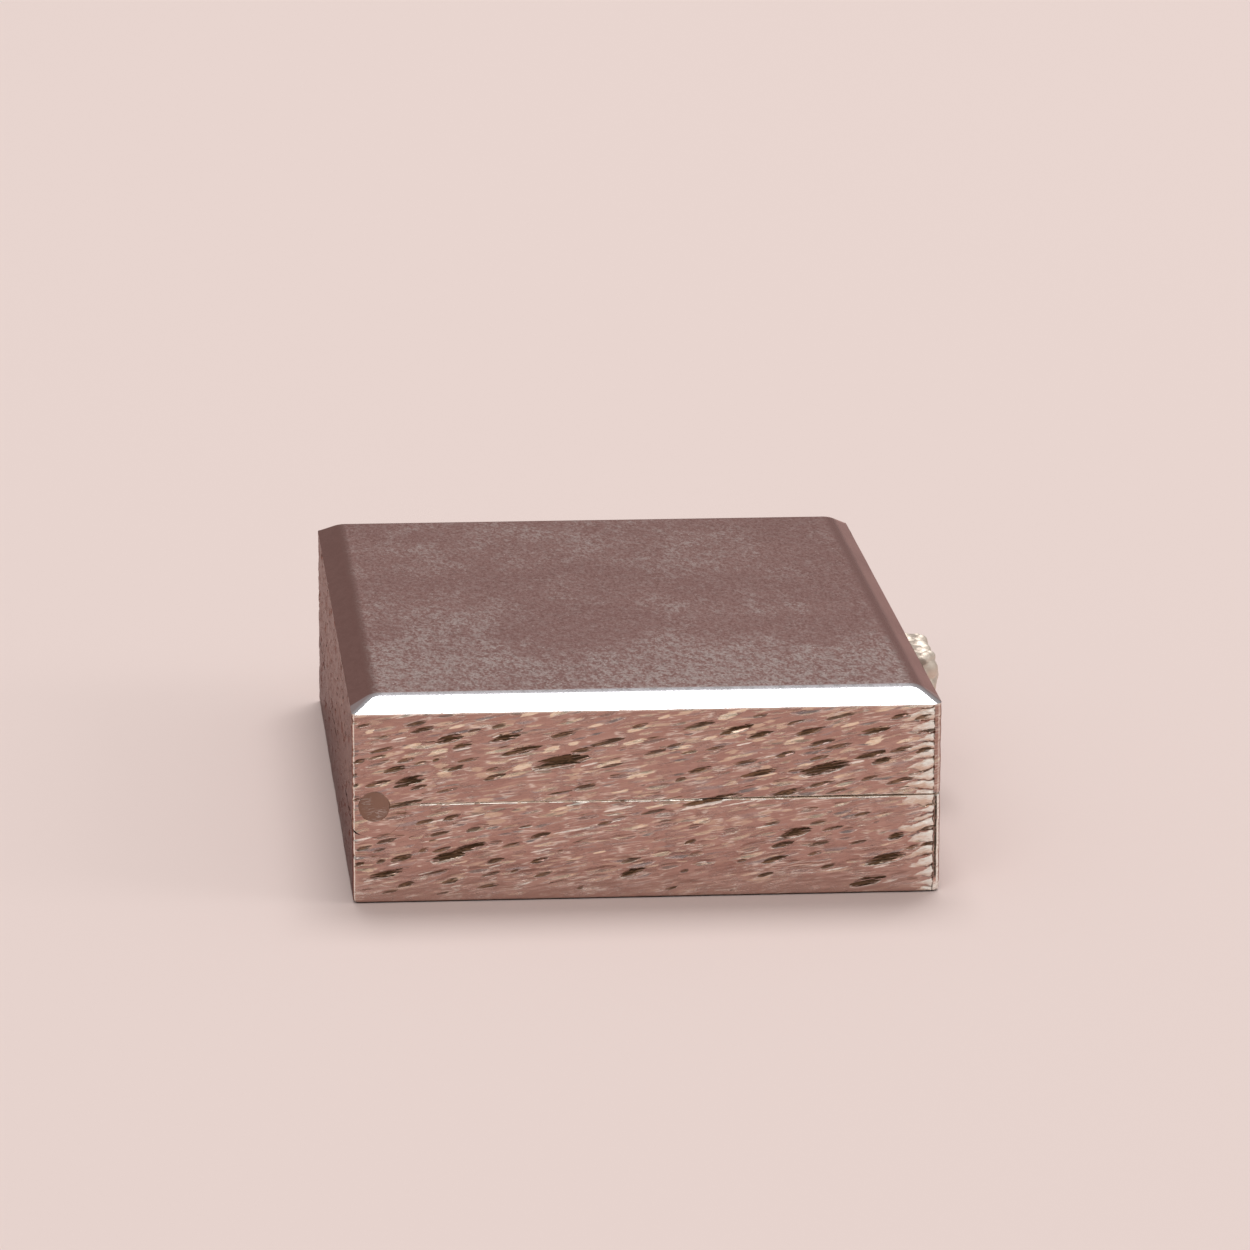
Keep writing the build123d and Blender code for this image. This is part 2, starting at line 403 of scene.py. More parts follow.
def endWall(name, half, end, spacing):
    lid = half == "lid"
    front = end == "front"
    hx = case["halfX"]
    innerY = case["halfY"] - (case["lidWall"] if lid else case["baseWall"])
    straightX = (endFace["hingeStrip"] - hx, hx - endFace["thumbStrip"])
    # the wall's places on the long sides, and those where its inner face begins to widen towards them
    if front:
        hingeReach, thumbReach = placeOnHinge(-innerY), placeOnThumb(-innerY)
        hingeMark, thumbMark = straightX
    else:
        hingeReach = backEnd + cornerRun + case["halfY"] - case["hingeCorner"] - innerY
        thumbReach = placeOnThumb(innerY)
        hingeMark, thumbMark = backMiddle - straightX[0], backMiddle - straightX[1]
    place = spaced(sorted((hingeReach, hingeMark, thumbMark, thumbReach)), spacing)
    acrossX = outlineAt(place)[0][:, 0]
    if lid:
        edge = lidEdgeAt(acrossX)
        count = int(round((sideTop - edge.mean()) / spacing))
        below = int(case["barrel"] / spacing) + 2
        share = np.arange(-below, count + 1) / count
        heights = edge + (sideTop - edge) * share[:, None]
        insets = np.zeros_like(heights)
        insets[below] = case["rimRound"] * (np.abs(acrossX - case["hingeX"]) > case["barrelClear"])
    else:
        edge = partingAt(acrossX)
        count = int(round((edge.mean() - case["edgeRound"]) / spacing))
        share = np.arange(count + 1) / count
        straight = edge + (case["edgeRound"] - edge) * share[:, None]
        footHeights, footInsets = footCurve()
        heights = np.concatenate([straight, footHeights + 0 * place])
        insets = np.concatenate([0 * straight, footInsets + 0 * place])
        insets[0] = case["rimRound"]
    skin = Skin(place[None, :] + 0 * heights, heights, insets)
    middle = skin.cellMiddles()
    reach = fromHinge(middle)
    if lid:
        pinHole = case["pinRadius"] - case["pinBevel"]
        above = np.arange(skin.keep.shape[0])[:, None] >= below
        skin.keep = (above | (reach < case["barrel"])) & (reach > pinHole)
        onCut = skin.onEdgeOfCut()
        radius = fromHinge(skin.points()[0])
        onRow = np.arange(heights.shape[0])[:, None] == below
        hole = onCut & (radius < (pinHole + case["barrel"]) / 2)
        ear = onCut & ~hole & (~onRow | (radius < case["barrel"] + spacing * 0.7))
        skin.snapToCircle(hole, pinHole)
        skin.snapToCircle(ear, case["barrel"])
    else:
        # close round the lid's end, wider at the hinge side where the lid's wall swings past
        def seatAt(x):
            ends = [endFace["seatStart"] - hx, endFace["seatEnd"] - hx]
            return np.interp(x, ends, [case["swingClear"], case["barrelClear"]])

        skin.keep = reach > seatAt(middle[..., 0])
        skin.snapToCircle(skin.onEdgeOfCut(), seatAt(skin.points()[0][..., 0]))

    def innerAt(places, xyz):
        inner = xyz.copy()
        inner[..., 1] = -innerY if front else innerY
        x = xyz[..., 0]
        toHinge, toThumb = fade(places, hingeMark, hingeReach), fade(places, thumbMark, thumbReach)
        hingeX = np.where(toHinge > 0, straightX[0] - endFace["hingeStrip"] * toHinge, x)
        thumbX = np.where(toThumb > 0, straightX[1] + endFace["thumbStrip"] * toThumb, x)
        inner[..., 0] = np.where(x > 0, thumbX, hingeX)
        atEnds = (np.abs(places - hingeReach) < touching) | (np.abs(places - thumbReach) < touching)
        inner[atEnds] = xyz[atEnds]
        return inner

    def edgeAt(places, xyz):
        toCorner = np.abs(places - hingeCorners[0 if front else 1]) * 1.1
        line = lidEdgeAt(xyz[..., 0]) if lid else partingAt(xyz[..., 0])
        toLine = np.minimum(toCorner, np.abs(xyz[..., 2] - line))
        return np.where(fromHinge(xyz) > case["barrel"], toLine, toCorner)

    return closeSkin(name, skin, innerAt, edgeAt)


def zoneEdges():
    return np.linspace(-case["halfY"], case["halfY"], case["zones"] + 1)


def lidZone(y):
    # true where the barrel at y belongs to the lid
    zone = (y + case["halfY"]) / (2 * case["halfY"]) * case["zones"]
    return np.clip(zone.astype(int), 0, case["zones"] - 1) % 2 == 0


# The long walls, between the end walls. On the hinge side they stop at the barrel.
def longWall(name, half, side, spacing):
    lid = half == "lid"
    hinge = side == "hinge"
    wall = case["lidWall"] if lid else case["baseWall"]
    endY = case["halfY"] - wall
    outerX = -case["halfX"] if hinge else case["halfX"]
    innerX = (case["halfX"] - wall) * (-1 if hinge else 1)
    sign = 1 if lid else -1
    far = sideTop if lid else case["edgeRound"]
    if hinge:
        gap = case["zoneGap"]
        joints = [edge for edge in zoneEdges()[::-1] if abs(edge) < endY]
        marks = [endY] + [edge + off for edge in joints for off in (gap, -gap)] + [-endY]
        y = spaced(marks, spacing)
        place = placeOnHinge(y)

        def seatHeights(x):
            # where the wall ends over its own barrels and over the other half's
            along = x - case["hingeX"]
            radii = (case["barrel"], case["swingClear"])
            return [case["hingeZ"] + sign * math.sqrt(radius ** 2 - along ** 2) for radius in radii]

        own, other = seatHeights(outerX)
        rows = np.concatenate([[own], steps(other, far, spacing)])
    else:
        place = placeOnThumb(spaced([-endY, endY], spacing))
        edge = lidEdgeAt(outerX) if lid else partingAt(outerX)
        rows = steps(edge, far, spacing)
    insets = np.zeros(len(rows))
    insets[0] = 0 if hinge else case["rimRound"]
    if not lid:
        footHeights, footInsets = footCurve()
        rows = np.concatenate([rows, footHeights[:, 0]])
        insets = np.concatenate([insets, footInsets[:, 0]])
    skin = Skin(place[None, :] + 0 * rows[:, None], rows[:, None] + 0 * place, insets[:, None] + 0 * place)
    if hinge:
        middles = (y[:-1] + y[1:]) / 2
        apart = np.abs(middles[:, None] - np.array(joints)).min(axis=1) > gap
        skin.keep[0] = (lidZone(middles) == lid) & apart

    def innerAt(places, xyz):
        inner = xyz.copy()
        inner[..., 0] = innerX
        if hinge:
            end = sideTop if lid else 0
            heights, goals = np.array([own, other, end]), np.array([*seatHeights(innerX), end])
            order = np.argsort(heights)
            inner[..., 2] = np.interp(xyz[..., 2], heights[order], goals[order])
        return inner

    def edgeAt(places, xyz):
        return 9 + 0 * xyz[..., 2] if hinge else np.abs(xyz[..., 2] - rows[0])

    return closeSkin(name, skin, innerAt, edgeAt)


# Barrel lengths, round inside the case and filed flat with the wall outside
barrel = {"arcSteps": 50, "boreClear": 0.03}


def barrelPiece(zone, spacing):
    lid = zone % 2 == 0
    ends = zoneEdges()
    inY = case["halfY"] - (case["lidWall"] if lid else case["baseWall"])
    y0 = -inY if zone == 0 else ends[zone] + case["zoneGap"]
    y1 = inY if zone == case["zones"] - 1 else ends[zone + 1] - case["zoneGap"]
    y = steps(y1, y0, spacing)

    # the section: its flat, then its arc, and the bore inside them
    inset = case["halfX"] + case["hingeX"]
    half = math.sqrt(case["barrel"] ** 2 - inset ** 2)
    flat = steps(half, -half, spacing)
    turn = math.atan2(half, -inset)
    arc = np.linspace(-turn, turn, barrel["arcSteps"])[1:-1]
    section = [(-inset, z) for z in flat]
    section += [(case["barrel"] * math.cos(a), case["barrel"] * math.sin(a)) for a in arc]
    section = np.array(section)
    bore = case["pinRadius"] + (0 if lid else barrel["boreClear"])
    hole = section / np.linalg.norm(section, axis=1)[:, None] * bore
    centre = np.array([case["hingeX"], case["hingeZ"]])
    points = [(x, yy, z) for yy in y for x, z in section + centre]
    points += [(x, yy, z) for yy in (y[0], y[-1]) for x, z in hole + centre]
    points = np.array(points)
    count = len(section)
    rings = [list(range(k * count, (k + 1) * count)) for k in range(len(y) + 2)]
    outer, nearHole, farHole = rings[:-2], rings[-2], rings[-1]
    sides = list(zip(outer, outer[1:])) + [(outer[0], nearHole), (outer[-1], farHole), (nearHole, farHole)]
    faces = [quad for low, high in sides for quad in quadsBetween(low, high)]
    name = ("lidBarrel" if lid else "baseBarrel") + str(zone + 1)
    mesh = solid(name, points, faces)
    onSkin = np.zeros(len(points))
    onSkin[: len(y) * count] = np.tile(np.arange(count) < len(flat), len(y))
    outward = np.tile([-1.0, 0.0, 0.0], (len(points), 1))
    place = np.stack([placeOnHinge(points[:, 1]), points[:, 2], 0 * points[:, 1]], -1)
    writeSkin(mesh, onSkin, outward, place, np.zeros(len(points)))
    return addObject(name, mesh)


# A node's output that adds, multiplies and so on like a number or a vector, each step making one node
class Wire:
    def __init__(self, socket):
        self.socket = socket
        self.tree = socket.id_data

    def isVector(self):
        return self.socket.type in ("VECTOR", "RGBA")

    def part(self, axis):
        return wire(self.tree, "ShaderNodeSeparateXYZ", {"Vector": self}, axis)

    x = property(lambda self: self.part("X"))
    y = property(lambda self: self.part("Y"))
    z = property(lambda self: self.part("Z"))

    def __add__(self, other):
        return calc("ADD", self, other)

    def __sub__(self, other):
        return calc("SUBTRACT", self, other)

    def __rsub__(self, other):
        return calc("SUBTRACT", other, self)

    def __mul__(self, other):
        single = not (other.isVector() if isinstance(other, Wire) else isinstance(other, tuple))
        return calc("SCALE" if self.isVector() and single else "MULTIPLY", self, other)

    def __truediv__(self, other):
        return calc("DIVIDE", self, other)

    def __rtruediv__(self, other):
        return calc("DIVIDE", other, self)

    def __pow__(self, other):
        return calc("POWER", self, other)

    def __abs__(self):
        return calc("ABSOLUTE", self)

    def above(self, limit):
        return calc("GREATER_THAN", self, limit)

    def below(self, limit):
        return calc("LESS_THAN", self, limit)


def feed(socket, value):
    if isinstance(value, Wire):
        value.tree.links.new(value.socket, socket)
    else:
        socket.default_value = value


def send(node, **values):
    for name, value in values.items():
        feed(node.inputs[name], value)


def addNode(tree, kind, inputs=None, **settings):
    node = tree.nodes.new(kind)
    for name, value in settings.items():
        setattr(node, name, value)
    for key, value in (inputs or {}).items():
        feed(node.inputs[key], value)
    return node


def wire(tree, kind, inputs=None, output=0, **settings):
    return Wire(addNode(tree, kind, inputs, **settings).outputs[output])


def outputsOf(node):
    return {socket.name: Wire(socket) for socket in node.outputs}


def calc(operation, *values):
    wires = [value for value in values if isinstance(value, Wire)]
    kind = "ShaderNodeVectorMath" if any(one.isVector() for one in wires) else "ShaderNodeMath"
    node = addNode(wires[0].tree, kind, operation=operation)
    sockets = (node.inputs[0], node.inputs["Scale"]) if operation == "SCALE" else node.inputs
    for socket, value in zip(sockets, values):
        feed(socket, value)
    return Wire(node.outputs["Value" if operation == "DISTANCE" else 0])


def most(first, *others):
    for other in others:
        first = calc("MAXIMUM", first, other)
    return first


def within(value, limit):
    # keeps a value between minus the limit and the limit
    return calc("MAXIMUM", calc("MINIMUM", value, limit), -limit)


def atLeast(least, value):
    # spreads a share from 0 to 1 over least to 1
    return value * (1.0 - least) + least


def clamped(value):
    # keeps the last step between 0 and 1
    value.socket.node.use_clamp = True
    return value


def fract(value):
    return calc("FRACT", value)


def combine(x, y, z):
    tree = next(value.tree for value in (x, y, z) if isinstance(value, Wire))
    return wire(tree, "ShaderNodeCombineXYZ", {"X": x, "Y": y, "Z": z})


def ramp(value, low, high, toLow=0.0, toHigh=1.0):
    given = {"Value": value, "From Min": low, "From Max": high, "To Min": toLow, "To Max": toHigh}
    return wire(value.tree, "ShaderNodeMapRange", given, "Result", interpolation_type="SMOOTHSTEP")


def noise(place, detail, output="Fac", **more):
    given = {"Vector": place, "Scale": 1.0, "Detail": detail, **more}
    return wire(place.tree, "ShaderNodeTexNoise", given, output)


def turned(place, angle):
    given = {"Vector": place, "Angle": angle}
    return wire(place.tree, "ShaderNodeVectorRotate", given, rotation_type="Z_AXIS")


def newGroup(name, kind, inputs, outputs):
    # each input has its default or the kind of its socket; the outputs are numbers or the geometry
    tree = bpy.data.node_groups.new(name, kind)
    for label, given in inputs.items():
        socketKind = "NodeSocket" + (given if isinstance(given, str) else "Float")
        socket = tree.interface.new_socket(name=label, in_out="INPUT", socket_type=socketKind)
        if not isinstance(given, str):
            socket.default_value = given
    for label in outputs:
        socketKind = "NodeSocketGeometry" if label == "Geometry" else "NodeSocketFloat"
        tree.interface.new_socket(name=label, in_out="OUTPUT", socket_type=socketKind)
    return tree, outputsOf(tree.nodes.new("NodeGroupInput")), tree.nodes.new("NodeGroupOutput")


def endTree(shape, given, result):
    # what both geometry trees end in
    real = wire(shape.tree, "GeometryNodeRealizeInstances", {"Geometry": shape})
    done = {"Geometry": real, "Material": given["Material"]}
    send(result, Geometry=wire(shape.tree, "GeometryNodeSetMaterial", done))


# Layers of strokes, in millimetres: a cell's length and height, how far a stroke fills it, how many have one
strokeLayers = [
    {"Cell Length": 2.7, "Cell Height": 0.66, "Fill": 0.46, "Coverage": 0.8, "Seed": 1.0},
    {"Cell Length": 1.6, "Cell Height": 0.42, "Fill": 0.45, "Coverage": 0.7, "Seed": 2.0},
    {"Cell Length": 3.6, "Cell Height": 0.36, "Fill": 0.46, "Coverage": 0.5, "Seed": 3.0},
]
layerDepths = (1.0, 0.5, 0.4)
layerShades = (1.0, 0.8, 0.5)
creamLayer = {"Cell Length": 2.2, "Cell Height": 0.56, "Fill": 0.4, "Coverage": 0.36, "Seed": 6.0}
wideLayer = {"Cell Length": 5.2, "Cell Height": 1.7, "Fill": 0.3, "Coverage": 0.4, "Seed": 9.0}


# The rows of strokes wander a little, and their edges are ragged along the metal's grain
bend = {
    "slowScale": 0.16,
    "slowReach": (2.0, 1.1, 0.0),
    "quickStretch": (1.3, 4.5, 1.0),
    "quickReach": (0.6, 0.12, 0.0),
}


def bentPlace(place):
    middle = (0.5, 0.5, 0.5)
    slow = noise(place, 1.0, "Color", Scale=bend["slowScale"]) - middle
    quick = noise(place * bend["quickStretch"], 2.0, "Color") - middle
    return place + slow * bend["slowReach"] + quick * bend["quickReach"]


# One layer of strokes: a stretched, turned cell pattern with a bowl cut in some of its cells.
# The same nodes make the shape in the geometry tree and the masks in the material.
bowlForm = {
    "seedStep": (13.7, 7.3),
    "leastSize": 0.5,
    "leastDepth": 0.25,
    "steepness": 1.5,
    "lean": 0.55,
    "rimWidth": 0.12,
}


def makeStrokeLayer(kind):
    shaping = kind == "GeometryNodeTree"
    sizes = {"Cell Length": 3.0, "Cell Height": 0.8, "Fill": 0.45, "Coverage": 0.7, "Seed": 0.0}
    tree, given, result = newGroup(
        "strokeShape" if shaping else "strokeMasks",
        kind,
        {"Place": "Vector", "Tilt": strokes["tilt"], **sizes},
        ["Cut"] if shaping else ["Dark", "Cream", "Grey", "Rim", "Bowl"],
    )
    size = combine(given["Cell Length"], given["Cell Height"], 1.0)
    stepAlong, stepUp = bowlForm["seedStep"]
    shift = combine(given["Seed"] * stepAlong, given["Seed"] * stepUp, 0.0)
    stretched = turned(given["Place"], given["Tilt"] * -1.0) / size + shift
    pattern = {"Vector": stretched, "Scale": 1.0, "Randomness": 0.8}
    cells = outputsOf(addNode(tree, "ShaderNodeTexVoronoi", pattern, voronoi_dimensions="2D", feature="F1"))
    chance = cells["Color"]
    radius = given["Fill"] * atLeast(bowlForm["leastSize"], chance.x)
    reach = cells["Distance"] / radius
    side = (stretched - cells["Position"]).y / radius
    bowl = most(1.0 - reach ** 2.0, 0.0)
    picked = chance.y.below(given["Coverage"])
    if shaping:
        deep = atLeast(bowlForm["leastDepth"], chance.z) * picked
        lean = side * bowlForm["lean"] + 1.0
        send(result, Cut=bowl ** bowlForm["steepness"] * lean * deep)
        return tree
    strength = chance.z * picked
    other = fract(chance.x * 5.31)
    # the upper side of a bowl: brown, partly tarnish in the hollow and partly painted shade; its lower side:
    # painted reflection in cream or grey; its lower rim: painted highlight
    upper = ramp(bowl, 0.0, 0.3) * ramp(side, -0.35, 0.25)
    lower = ramp(bowl, 0.0, 0.35) * ramp(side, 0.15, -0.45)
    band = clamped(1.0 - abs(reach - 1.0) / bowlForm["rimWidth"])
    send(
        result,
        Dark=upper * ramp(strength, 0.4, 0.95),
        Cream=lower * ramp(other, 0.45, 0.9) * picked,
        Grey=lower * ramp(other, 0.4, 0.1) * picked,
        Rim=band * ramp(side, 0.0, -0.5) * strength,
        Bowl=bowl * picked,
    )
    return tree


# Where the strokes run out over the thumb corners: pale lips one above the other, then a ridge and a
# scraped strip. The length is a shortest and a longest; between the other pairs a part comes or goes.
lipForm = {
    "height": 0.74,
    "tilt": strokes["tilt"] * 1.15,
    "wander": 1.1,
    "wanderScale": 0.55,
    "curl": 0.34,
    "curlStretch": (1.4, 2.2, 1.0),
    "length": (0.1, 1.35),
    "tipLength": 1.35,
    "curlLength": 0.9,
    "curlMiddle": 0.78,
    "ridgePlace": 0.15,
    "ridgeWander": 0.3,
    "ridgeScale": 2.3,
    "ridgeEdge": (0.06, 0.015),
    "lipsEnd": (0.04, -0.04),
    "stripStart": (0.03, 0.1),
    "stripEnd": (0.3, 0.24),
}


def makeCornerLips(kind):
    tree, given, result = newGroup(
        "lipShape" if kind == "GeometryNodeTree" else "lipMasks",
        kind,
        {"Place": "Vector", "Past Ridge": 0.0, "Lip Height": lipForm["height"]},
        ["Lip", "Round", "Upper", "Zone", "Ridge", "Strip"],
    )
    place, past = given["Place"], given["Past Ridge"]
    curl = noise(place * lipForm["curlStretch"], 2.0)
    wander = noise(place, 1.5, Scale=lipForm["wanderScale"]) * lipForm["wander"]
    up = (turned(place, -lipForm["tilt"]).y + wander + curl * lipForm["curl"]) / given["Lip Height"]
    cells = ("ShaderNodeTexVoronoi", {"W": up, "Scale": 1.0, "Randomness": 1.0})
    near = outputsOf(addNode(tree, *cells, voronoi_dimensions="1D", feature="F1"))
    edge = wire(tree, *cells, "Distance", voronoi_dimensions="1D", feature="DISTANCE_TO_EDGE")
    shortest, longest = lipForm["length"]
    reach = near["Color"].x * (longest - shortest) + shortest
    inside = ramp(edge, 0.0, 0.62) * lipForm["tipLength"] + past + reach
    inside = inside + (lipForm["curlMiddle"] - curl) * lipForm["curlLength"]
    broken = noise(place, 2.0, Scale=lipForm["ridgeScale"])
    offRidge = abs(broken * lipForm["ridgeWander"] + (past - lipForm["ridgePlace"]))
    send(
        result,
        Lip=ramp(edge, 0.02, 0.12),
        Round=ramp(edge, 0.0, 0.42),
        Upper=ramp(up - near["W"], -0.4, 0.1),
        Zone=ramp(inside, 0.1, 0.5) * ramp(past, *lipForm["lipsEnd"]),
        Ridge=ramp(offRidge, *lipForm["ridgeEdge"]) * ramp(broken, 0.4, 0.55, 0.2, 1.0),
        Strip=ramp(past, *lipForm["stripStart"]) * ramp(past, *lipForm["stripEnd"]),
    )
    return tree


# The large dark strokes of the front, read off the photograph: middle, length and width in its pixels
handStrokes = [
    (567, 759, 55, 12), (583, 750, 20, 5), (826, 768, 42, 11), (889, 858, 36, 10), (869, 881, 28, 9),
    (451, 854, 30, 9), (470, 846, 25, 7), (411, 780, 25, 10), (797, 832, 26, 9), (522, 750, 32, 7),
    (452, 738, 23, 8), (507, 737, 24, 7), (565, 734, 22, 5), (464, 745, 16, 5), (397, 768, 18, 6),
    (380, 782, 20, 5), (457, 767, 14, 5), (470, 759, 18, 3), (403, 803, 32, 5), (453, 816, 14, 5),
    (427, 820, 16, 4), (441, 832, 16, 4), (474, 828, 12, 4), (443, 848, 14, 4), (403, 856, 18, 6),
    (387, 872, 28, 7), (496, 859, 15, 5), (540, 859, 14, 5), (408, 882, 14, 5), (452, 879, 13, 5),
    (585, 786, 20, 4), (631, 859, 16, 4), (633, 871, 20, 7), (736, 730, 26, 7), (700, 725, 25, 5),
    (759, 735, 22, 6), (809, 732, 24, 6), (821, 743, 22, 5), (786, 754, 17, 5), (875, 731, 24, 6),
    (746, 762, 20, 4), (760, 773, 30, 6), (871, 755, 28, 6), (901, 750, 20, 5), (881, 761, 16, 6),
    (871, 778, 18, 4), (900, 781, 22, 5), (699, 770, 18, 5), (681, 779, 10, 4), (713, 799, 52, 6),
    (789, 792, 30, 6), (783, 844, 18, 5), (820, 843, 18, 4), (897, 836, 14, 7), (691, 841, 10, 4),
]
# The small ones, which are thin and brown
faintStrokes = [
    (367, 725, 14, 3), (387, 736, 8, 3), (385, 749, 20, 4), (380, 756, 15, 3), (362, 760, 11, 4),
    (409, 759, 14, 4), (423, 762, 10, 3), (438, 759, 6, 3), (425, 729, 20, 5), (419, 723, 18, 4),
    (476, 730, 12, 3), (500, 726, 12, 4), (606, 742, 30, 5), (640, 726, 14, 4), (496, 776, 17, 5),
    (494, 768, 10, 3), (449, 789, 18, 3), (420, 786, 14, 4), (357, 774, 6, 3), (358, 784, 6, 3),
    (360, 798, 8, 3), (388, 839, 16, 4), (366, 846, 12, 4), (381, 848, 10, 3), (361, 862, 10, 4),
    (426, 848, 8, 4), (383, 859, 8, 4), (514, 843, 16, 3), (527, 825, 12, 2), (606, 822, 14, 3),
    (541, 834, 16, 5), (439, 870, 22, 3), (392, 889, 14, 3), (444, 891, 12, 2), (492, 872, 15, 3),
    (544, 873, 14, 4), (517, 869, 9, 3), (490, 884, 18, 4), (582, 886, 6, 3), (760, 716, 13, 3),
    (795, 723, 14, 4), (840, 717, 25, 4), (899, 717, 15, 5), (923, 718, 15, 5), (926, 732, 16, 4),
    (924, 751, 15, 5), (837, 747, 25, 4), (819, 758, 16, 4), (821, 784, 20, 4), (838, 791, 20, 3),
    (773, 823, 16, 3), (819, 822, 16, 3), (834, 828, 18, 3), (863, 814, 14, 3), (816, 853, 12, 3),
    (829, 866, 13, 4), (859, 842, 14, 3), (929, 828, 12, 4), (914, 847, 10, 4), (929, 844, 14, 4),
    (766, 874, 13, 4), (672, 887, 10, 3), (685, 870, 8, 3), (743, 860, 10, 3), (775, 859, 20, 6),
    (653, 811, 20, 3), (676, 745, 16, 3), (655, 752, 18, 4), (690, 752, 14, 3), (716, 748, 16, 3),
    (612, 765, 18, 3), (560, 792, 22, 2),
]
# Pale ones: cream patches, painted reflections, then thin white lines, painted highlights
creamStrokes = [
    (523, 766, 18, 8), (553, 749, 17, 7), (635, 742, 22, 5), (640, 775, 28, 5), (638, 729, 22, 5),
    (531, 714, 18, 4), (556, 714, 10, 5), (441, 751, 19, 5), (493, 752, 20, 3), (447, 771, 15, 3),
    (575, 743, 11, 4), (608, 764, 24, 5), (373, 731, 9, 4), (386, 783, 12, 5), (681, 748, 18, 4),
    (728, 716, 20, 7), (665, 717, 12, 4), (741, 711, 20, 3), (793, 741, 18, 6), (875, 741, 17, 7),
    (767, 775, 18, 3), (843, 785, 18, 4), (702, 820, 16, 4), (620, 791, 18, 3), (655, 806, 22, 3),
    (460, 726, 18, 3), (415, 745, 16, 4), (598, 725, 16, 3), (710, 738, 14, 4), (850, 725, 18, 4),
    (905, 741, 14, 4), (805, 765, 16, 3), (560, 808, 18, 3), (640, 826, 16, 3), (600, 851, 14, 2),
    (662, 852, 18, 2),
]
whiteStrokes = [
    (619, 808, 28, 3), (578, 803, 34, 2), (440, 819, 32, 2), (472, 815, 26, 2), (527, 826, 16, 2),
    (575, 829, 44, 2), (606, 822, 30, 2), (437, 838, 28, 2), (365, 837, 20, 2), (441, 859, 16, 3),
    (428, 871, 18, 2), (542, 849, 22, 2), (622, 877, 22, 2), (526, 882, 14, 2), (372, 878, 10, 2),
    (706, 804, 42, 5), (654, 799, 28, 2), (739, 803, 32, 2), (774, 798, 38, 2), (806, 797, 26, 2),
    (785, 836, 14, 2), (766, 826, 18, 2), (809, 775, 18, 2), (891, 881, 16, 2), (840, 868, 22, 2),
    (503, 735, 18, 2), (466, 748, 16, 2), (545, 768, 16, 2), (590, 764, 16, 2), (410, 716, 22, 2),
    (520, 757, 20, 2), (402, 738, 14, 2), (855, 763, 16, 3), (835, 771, 14, 2), (745, 744, 16, 2),
    (768, 757, 14, 2), (700, 862, 18, 2), (752, 851, 16, 2), (498, 864, 14, 2), (458, 884, 14, 2),
    (397, 862, 18, 2), (884, 866, 16, 2),
]
# The end face in the photograph: its edges, the foot at each and the pixels for each millimetre of height
photoFace = {
    "left": 355.0,
    "leftFoot": 901.3,
    "right": 942.0,
    "rightFoot": 892.2,
    "perHeight": 13.47,
    "lengthen": 1.02,
    "widen": 0.9,
}
markStretch = 3.2  # a mark counts as nearest over this many times its distance along the strokes


def makeMarks(name, table, strengths):
    # points in the stretched, turned plane of the strokes, with their half sizes
    turn = strokes["tilt"]
    faceWidth = photoFace["right"] - photoFace["left"]
    footRise = photoFace["rightFoot"] - photoFace["leftFoot"]
    perMm = faceWidth / (2 * case["halfX"])
    points, halfLength, halfWidth = [], [], []
    for px, py, length, width in table:
        fromLeft = px - photoFace["left"]
        x = fromLeft / perMm - case["halfX"]
        foot = photoFace["leftFoot"] + fromLeft / faceWidth * footRise
        z = (foot - py) / photoFace["perHeight"]
        along = x * math.cos(turn) + z * math.sin(turn)
        points.append((along / markStretch, z * math.cos(turn) - x * math.sin(turn), 0))
        halfLength.append(length * photoFace["lengthen"] / perMm / 2)
        halfWidth.append(width * photoFace["widen"] / perMm / 2)
    mesh = bpy.data.meshes.new(name)
    mesh.from_pydata(points, [], [])
    writeValues(mesh, halfLength=halfLength, halfWidth=halfWidth, depth=strengths)
    return addObject(name, mesh)


def useLayer(kind, group, place, settings):
    return outputsOf(addNode(place.tree, kind, {"Place": place, **settings}, node_tree=group))


def offFrontFace(place):
    return abs(place.x).above(strokes["frontHalf"])


# The form of the marks read off the photograph, and the even swell of the whole side
markForm = {
    "slant": -0.35,
    "roughStretch": (1.6, 5.0, 1.0),
    "rough": 0.9,
    "leastRough": 0.55,
    "endPower": 3.2,
    "paleEndPower": 2.4,
    "bottomPower": 0.65,
    "lean": 0.3,
    "away": 5.0,
    "ridgeShare": 0.5,
    "swell": 0.04,
    "swellStretch": (0.35, 0.9, 1.0),
}
# What each point of a side knows of the nearest dark mark, then of the nearest pale one
markValues = ("markReach", "markSide", "markAlong", "markDepth", "paleReach", "paleKind")


